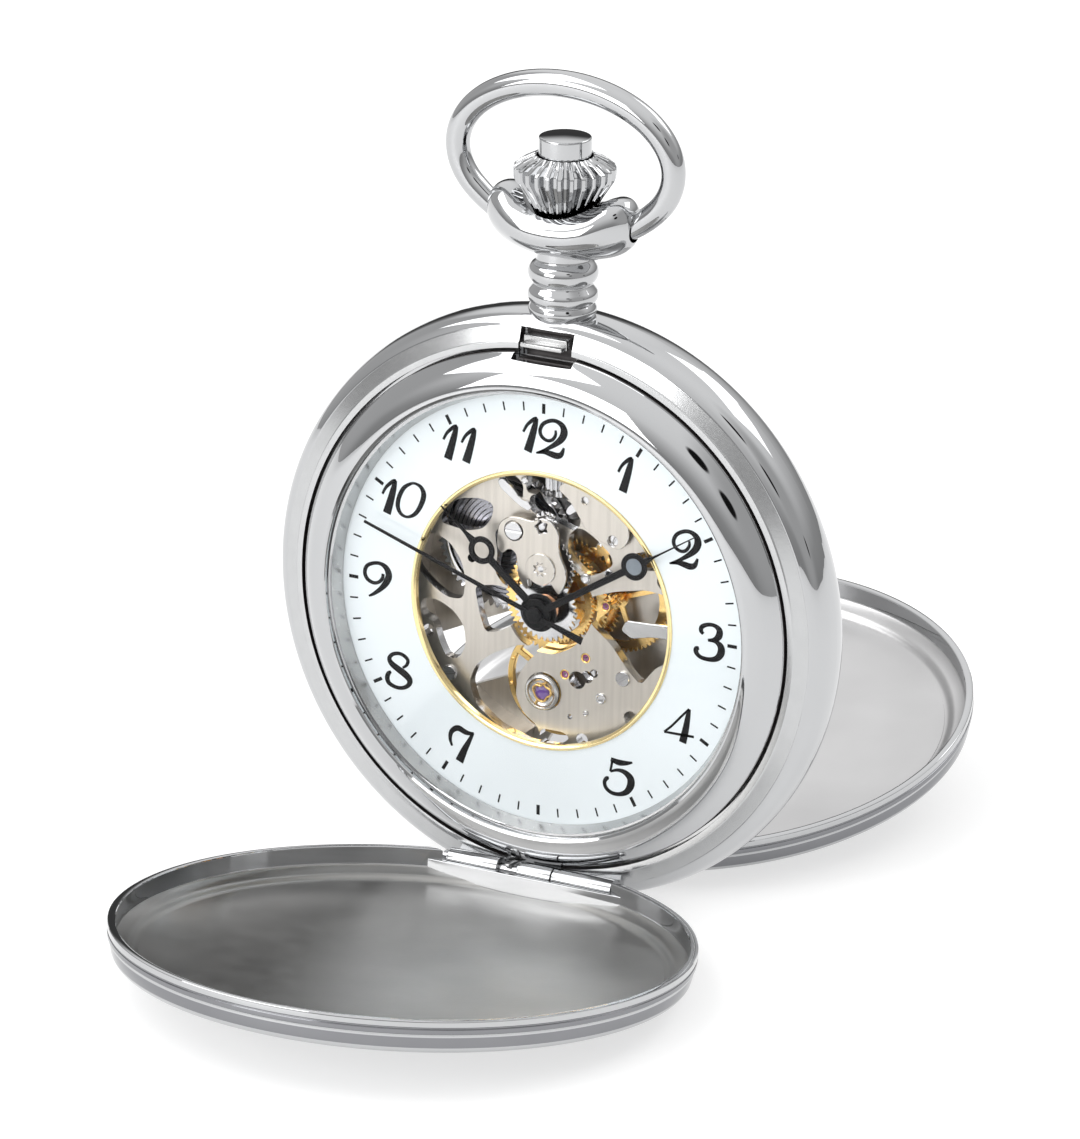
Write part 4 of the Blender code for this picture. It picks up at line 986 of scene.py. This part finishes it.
# Bridge over the motion work
bridge = [(1.25, 1.35), (1.65, 1.95), (1.9, 2.7), (1.88, 3.5), (1.4, 4.4), (1.15, 5.3), (1.25, 6.3),
          (0.7, 7.2), (-0.3, 7.45), (-1.1, 7.0), (-2.3, 7.15), (-3.3, 7.05), (-4.0, 6.4),
          (-4.15, 5.3), (-4.1, 4.3), (-3.65, 3.95), (-3.3, 4.35), (-2.85, 4.45), (-2.45, 4.1),
          (-2.35, 3.2), (-2.25, 2.2), (-1.6, 1.35), (-1.3, 1.55), (-1.5, 2.3), (-1.1, 2.25),
          (-0.3, 2.1), (0.55, 2.25), (0.9, 1.75)]
BRIDGE_SCREW_AT = (-2.7, 6.0)
star = [polar(SETTING_AT, 0.66 if k % 2 else 0.4, PI * k / 5) for k in range(10)]
openings = [rounded(star, 0.14, 4), circle(0.8, 40, BRIDGE_SCREW_AT)]
bridge_bm = slab(rounded(bridge, 0.45, 5), -0.7, -0.45, openings, 0.04, edge=1)
bore = [polar(MINUTE_AT, 0.62 if k % 2 else 0.36, PI * k / 8) for k in range(16)]
slab(circle(1.28, 48, MINUTE_AT), -0.47, -0.3, [rounded(bore, 0.08, 3)], 0.04, bridge_bm, edge=1)
shaft(BRIDGE_SCREW_AT, (0.7, -1.47, -0.5), bm=bridge_bm)
piece("motion_bridge", bridge_bm, [NICKEL, STEEL], "case", ["minute_work_bridge"])
piece("bridge_screw", screw_head(BRIDGE_SCREW_AT, 0.73, -0.55, 0.2, 0.0), STEEL, "case",
      ["minute_bridge_screw"])
for number, (at, turn) in enumerate([((6.5, -4.9), 0.6), ((-8.7, -7.1), 0.2), ((5.64, 6.4), 1.1)], 1):
    piece(f"slotted_screw_{number}", screw_head(at, 0.6, -1.5, 0.24, turn), STEEL, "case",
          [f"plate_screw_{number}"])

# Steadying pins, keyless cover and levers on the plate
pins = bmesh.new()
for x, y, r in ((4.6, -6.9, 0.45), (3.3, -8.35, 0.24), (6.9, 9.0, 0.35), (5.1, 3.5, 0.38),
                (-7.9, 8.3, 0.3), (3.1, 2.75, 0.42), (-2.3, 9.9, 0.32)):
    lathe(arcs([(0, -1.52), (r, -1.52, 0), (r, -1.38, 0.05), (r * 0.7, -1.34, 0.03),
                (r * 0.62, -1.4, 0.02), (0, -1.4)], 0.03, 3), 32, (x, y, 0), bm=pins)
piece("plate_pins", pins, STEEL, "case", ())
cover = [(1.9, 10.9), (0.7, 9.9), (1.8, 9.2), (2.7, 7.9), (3.3, 6.9), (4.6, 6.2), (6.2, 5.7),
         (6.9, 6.4), (7.1, 7.4), (6.6, 8.6), (4.6, 10.3)]
cover_bm = slab(rounded(cover, 0.6, 5), -1.12, -0.95, [circle(0.45, 32, (5.64, 6.4)),
                                                      circle(0.32, 32, (3.2, 9.3))], 0.03, edge=1)
piece("keyless_cover", cover_bm, [NICKEL, STEEL], "case", ())
lever = [(3.75, 9.55), (3.5, 9.95), (3.0, 9.95), (2.55, 9.4), (1.55, 8.4), (1.4, 7.95), (1.75, 7.75),
         (2.15, 8.05), (3.3, 8.8)]
piece("detent_lever", slab(rounded(lever, 0.25, 5), -1.42, -1.18, (), 0.04, edge=1), [STEEL, STEEL],
      "lever", ["setting_lever"])
yoke_bar = [(-4.6, 9.6), (-4.1, 9.9), (-3.3, 9.3), (-2.6, 8.5), (-1.9, 8.3), (-1.5, 7.9), (-1.8, 7.5),
            (-2.6, 7.8), (-3.3, 8.3), (-4.3, 9.0)]
piece("clutch_lever", slab(rounded(yoke_bar, 0.3, 5), -1.48, -1.2, (), 0.05, edge=1), [STEEL, STEEL],
      "case", ())

# Wheels
minute_bm = slab(minute_teeth, -1.4, -1.15, spokes(MINUTE_AT, 0.8, 1.55, 4, 0.3), 0.02)
slab(minute_leaves, -1.16, -0.75, (), 0.02, minute_bm)
shaft(MINUTE_AT, (0.3, -1.46, -1.38), (0.26, -0.76, -0.42), bm=minute_bm)
piece("minute_wheel_fine", minute_bm, STEEL, "minute_work", ["minute_wheel"])
setting_bm = slab(setting_teeth, -1.4, -1.15, (), 0.03)
shaft(SETTING_AT, (0.38, -1.46, -1.38), (0.28, -1.16, -0.5), bm=setting_bm)
piece("setting_wheel_fine", setting_bm, STEEL, "setting", ["setting_wheel"])
hour_bm = slab(hour_teeth, -0.96, -0.75, [circle(0.64, 32)], 0.02)
lathe(arcs([(0.64, -0.76, 0), (1.15, -0.76, 0.05), (1.02, -0.4, 0.2), (0.84, 0.1, 0.1),
            (0.84, 0.56, 0.03), (0.64, 0.56, 0)], 0.05, 4), 48, bm=hour_bm,
      paint=lambda r, z: 1)
piece("hour_wheel_fine", hour_bm, [STEEL, COPPER], "hours", ["hour_wheel"])
cannon_bm = slab(cannon_leaves, -1.42, -1.02, [circle(0.44, 24)], 0.02)
shaft(O, (0.54, -1.03, 0.95), bm=cannon_bm, hollow=0.44)
piece("cannon_fine", cannon_bm, STEEL, "minutes", ["cannon_pinion"])
centre_bm = slab(centre_teeth, -2.95, -2.7, spokes(O, 1.2, 3.55, 4, 0.55), 0.03)
slab(centre_leaves, -3.65, -3.1, [circle(0.27, 16)], 0.03, centre_bm)
shaft(O, (0.42, -3.12, -2.94), (0.4, -2.72, 0.28), bm=centre_bm, hollow=0.27)
piece("centre_wheel_fine", centre_bm, GOLD, "minutes", ["centre_wheel"])
third_bm = slab(third_teeth, -4.05, -3.85, spokes(THIRD_AT, 0.8, 3.5, 4, 0.42, 20), 0.02)
slab(third_leaves, -3.05, -2.62, (), 0.03, third_bm)
shaft(THIRD_AT, (0.2, -5.4, -4.04), (0.32, -3.86, -3.6), (0.2, -3.62, -3.04), (0.2, -2.64, -1.78),
      bm=third_bm)
piece("third_wheel_fine", third_bm, GOLD, "third", ["third_wheel"])
fourth_bm = slab(fourth_teeth, -4.75, -4.55, spokes(O, 0.8, 3.75, 4, 0.42, 35), 0.02)
slab(fourth_leaves, -4.15, -3.78, (), 0.03, fourth_bm)
shaft(O, (0.2, -5.4, -4.74), (0.3, -4.56, -4.14), (0.19, -3.8, 1.3), bm=fourth_bm)
piece("fourth_wheel_fine", fourth_bm, GOLD, "seconds", ["fourth_wheel"])
club = []
for k in range(15):
    for degrees, radius in ((0, 1.95), (1.6, 1.92), (2.6, 1.75), (4.6, 1.5), (8, 1.42), (18, 1.42),
                            (21.4, 1.55), (23, 1.8)):
        club.append(polar(ESCAPE_AT, radius, math.radians(24 * k + degrees + 7)))
escape_bm = slab(club, -3.3, -3.1, spokes(ESCAPE_AT, 0.45, 1.15, 4, 0.2), 0.02)
slab(escape_leaves, -4.85, -4.45, (), 0.03, escape_bm)
shaft(ESCAPE_AT, (0.2, -5.4, -4.84), (0.2, -4.46, -3.28), (0.2, -3.12, -1.78), bm=escape_bm)
piece("escape_wheel_fine", escape_bm, STEEL, "escape", ["escape_wheel"])
balance_bm = slab(circle(4.4, 128, BALANCE_AT), -4.3, -3.9, spokes(BALANCE_AT, 0.55, 3.9, 3, 0.5, 30),
                  0.06)
shaft(BALANCE_AT, (0.22, -5.4, -4.28), (0.22, -3.92, -3.28), (0.5, -3.3, -3.0), (0.2, -3.02, -1.68),
      bm=balance_bm)
for k in range(12):
    at = polar(BALANCE_AT, 4.12, 2 * PI * k / 12 + 0.2)
    lathe(arcs([(0, -3.92), (0.17, -3.92, 0), (0.17, -3.8, 0.03), (0, -3.8)], 0.02, 2), 16, (*at, 0),
          bm=balance_bm)
piece("balance_fine", balance_bm, GOLD, "balance", ["balance_wheel"])


def coil(at, r0, r1, turns, thick, z0, z1, per_turn=72):
    """A flat spiral strip with evenly spaced turns."""
    count = int(turns * per_turn)
    bm = bmesh.new()
    rows = []
    for k in range(count + 1):
        angle, r = 2 * PI * k / per_turn, r0 + (r1 - r0) * k / count
        a, b = polar(at, r + thick / 2, angle), polar(at, r - thick / 2, angle)
        rows.append([bm.verts.new((*p, z)) for p, z in ((a, z0), (b, z0), (b, z1), (a, z1))])
    skin(bm, rows)
    return bm


piece("hairspring_fine", coil(BALANCE_AT, 0.55, 2.25, 10, 0.045, -4.72, -4.56), SPRING, "balance",
      ["hairspring"])
piece("mainspring_fine", coil(BARREL_AT, 1.0, 4.8, 11, 0.26, -4.2, -3.3), SPRING, "barrel_drum",
      ["mainspring"])
drum = lathe(arcs([(0.75, -4.5, 0.03), (5.4, -4.5, 0.1), (5.4, -3.2, 0.06), (4.95, -3.2, 0.06),
                   (4.95, -4.25, 0), (0.75, -4.25, 0)], 0.03, 3), 128, (*BARREL_AT, 0))
slab(barrel_teeth, -3.6, -3.3, [circle(5.3, 96, BARREL_AT)], 0.03, drum)
piece("barrel_fine", drum, STEEL, "barrel_drum", ["barrel"])
ratchet_bm = slab(ratchet_teeth, -6.1, -5.8, (), 0.05, both=True)
shaft(BARREL_AT, (0.6, -5.82, -3.0), bm=ratchet_bm)
screw = screw_head(BARREL_AT, 1.1, 0, 0.2, 0.7)
screw.transform(Matrix.Translation((0, 0, -6.08)) @ Matrix.Scale(-1, 4, (0, 0, 1)))
mesh = bpy.data.meshes.new("screw")
screw.to_mesh(mesh)
ratchet_bm.from_mesh(mesh)
piece("ratchet_fine", ratchet_bm, BRUSHED, "ratchet", ["ratchet_wheel"])
crown_bm = slab(crown_teeth, -6.1, -5.8, (), 0.05, both=True)
shaft(CROWN_WHEEL_AT, (2.2, -5.82, -4.62), bm=crown_bm, count=64)
piece("crown_wheel_fine", crown_bm, BRUSHED, "crown_gear", ["crown_wheel"])


def star_on_stem(name, node, body, count, outer, depth, y0, y1, look):
    """A toothed sleeve round the stem."""
    bm = slab(cog(count, outer - 0.4 * depth, depth / 2, O, 0), y0, y1, [circle(0.6, 24)], 0.05,
              both=True)
    bm.transform(Matrix.Translation((0, 0, MID_Z)) @ Matrix.Rotation(-PI / 2, 4, "X"))
    piece(name, bm, look, body, [node])


star_on_stem("clutch_fine", "sliding_clutch", "clutch", 14, 1.15, 0.3, 9.2, 10.5, STEEL)
star_on_stem("winding_pinion_fine", "winding_pinion", "stem", 12, 1.55, 0.4, 10.75, 12.1, STEEL)


# ---------------------------------------------------------------- carried-over parts
LOOKS = {"polished_case": CHROME, "satin_steel": BRUSHED, "plate_nickel": NICKEL,
         "gilt_brass": GOLD, "polished_steel": STEEL, "spring_steel": SPRING,
         "hand_black": BLACK, "dial_pearl": PEARL, "crystal": GLASS}
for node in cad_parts.values():
    for slot in node.material_slots:
        base = slot.material.name.split(".")[0] if slot.material else "polished_steel"
        slot.material = LOOKS.get(base, STEEL)

# ---------------------------------------------------------------- stage, light, camera
floor = bmesh.new()
bmesh.ops.create_circle(floor, cap_ends=True, segments=64, radius=3.0)
floor_mesh = bpy.data.meshes.new("floor")
floor.to_mesh(floor_mesh)
floor.free()
FLOOR_GLOW = 0.55
FLOOR = finish("pale_floor", (0.52, 0.52, 0.52), 0.0, 0.6, 0.05, 0.004, scale=0.05)
floor_shader = FLOOR.node_tree.nodes["Principled BSDF"]
floor_shader.inputs["Emission Color"].default_value = (1, 1, 1, 1)
floor_shader.inputs["Emission Strength"].default_value = FLOOR_GLOW
floor_mesh.materials.append(FLOOR)
floor = bpy.data.objects.new("floor", floor_mesh)
floor.location.z = -0.0001
bpy.context.scene.collection.objects.link(floor)


def lamp(name, at, aim, wide, tall, power):
    """A white soft box, sized in metres, turned towards a point."""
    light = bpy.data.lights.new(name, "AREA")
    light.shape = "RECTANGLE"
    light.size = wide
    light.size_y = tall
    light.energy = power
    obj = bpy.data.objects.new(name, light)
    obj.location = at
    obj.rotation_euler = (Vector(aim) - Vector(at)).to_track_quat("-Z", "Y").to_euler()
    bpy.context.scene.collection.objects.link(obj)


lamp("key", (-0.45, -0.30, 0.75), (0, 0, 0.04), 0.6, 0.6, 2.6)
lamp("rim", (0.30, 0.55, 0.60), (0, 0, 0.04), 0.5, 0.3, 0.9)
lamp("front", (-0.30, -0.75, 0.34), (0, 0, 0.03), 0.5, 0.4, 2.5)

world = bpy.data.worlds.new("studio")
bpy.context.scene.world = world
world.use_nodes = True
tree = world.node_tree
background = tree.nodes["Background"]
coord = tree.nodes.new("ShaderNodeTexCoord")
split = tree.nodes.new("ShaderNodeSeparateXYZ")
tree.links.new(coord.outputs["Generated"], split.inputs["Vector"])
tone = ramp(tree, split.outputs["Z"], [(0.0, (0.30,)), (0.14, (0.36,)), (0.36, (0.62,)),
                                        (0.60, (0.86,)), (1.0, (1.0,))]).outputs["Color"]


def patch(under, azimuth, elevation, inner, outer, value):
    """Darkens or lightens the surroundings towards one direction, within a cone in degrees."""
    a, e = math.radians(azimuth), math.radians(elevation)
    way = (math.sin(a) * math.cos(e), -math.cos(a) * math.cos(e), math.sin(e))
    unit = tree.nodes.new("ShaderNodeVectorMath")
    unit.operation = "NORMALIZE"
    tree.links.new(coord.outputs["Generated"], unit.inputs[0])
    dot = tree.nodes.new("ShaderNodeVectorMath")
    dot.operation = "DOT_PRODUCT"
    dot.inputs[1].default_value = way
    tree.links.new(unit.outputs["Vector"], dot.inputs[0])
    edge = tree.nodes.new("ShaderNodeMapRange")
    edge.interpolation_type = "SMOOTHSTEP"
    edge.inputs["From Min"].default_value = math.cos(math.radians(outer))
    edge.inputs["From Max"].default_value = math.cos(math.radians(inner))
    tree.links.new(dot.outputs["Value"], edge.inputs["Value"])
    mix = tree.nodes.new("ShaderNodeMix")
    mix.data_type = "RGBA"
    mix.inputs["B"].default_value = (value, value, value, 1)
    tree.links.new(edge.outputs["Result"], mix.inputs["Factor"])
    tree.links.new(under, mix.inputs["A"])
    return mix.outputs["Result"]


# What the polish mirrors: azimuth, elevation, inner and outer half angle, tone
PATCHES = [(80, 25, 12, 40, 0.48), (52, 28, 4, 6, 0.01), (46, 44, 4, 6, 0.01), (98, 12, 2, 4, 0.02),
           (-100, 25, 15, 45, 0.50), (-150, 8, 10, 26, 0.05), (-146, 44, 12, 28, 1.0)]
WORLD_STRENGTH = 1.2
for values in PATCHES:
    tone = patch(tone, *values)
tree.links.new(tone, background.inputs["Color"])
background.inputs["Strength"].default_value = WORLD_STRENGTH

# The camera's place in metres, its turn about X, Y and Z in degrees, and its lens in millimetres
CAMERA_AT = (0.27009, -0.53305, 0.23629)
CAMERA_TURN = (70.618, -0.758, 27.265)
CAMERA_LENS = 257.3
scene = bpy.context.scene
scene.view_settings.view_transform = "Standard"
camera_data = bpy.data.cameras.new("camera")
camera_data.lens = CAMERA_LENS
camera_data.sensor_width = 36.0
camera_data.dof.use_dof = False
camera_data.clip_start = 0.01
camera = bpy.data.objects.new("camera", camera_data)
camera.location = CAMERA_AT
camera.rotation_euler = [math.radians(angle) for angle in CAMERA_TURN]
scene.collection.objects.link(camera)
scene.camera = camera

bpy.context.view_layer.update()
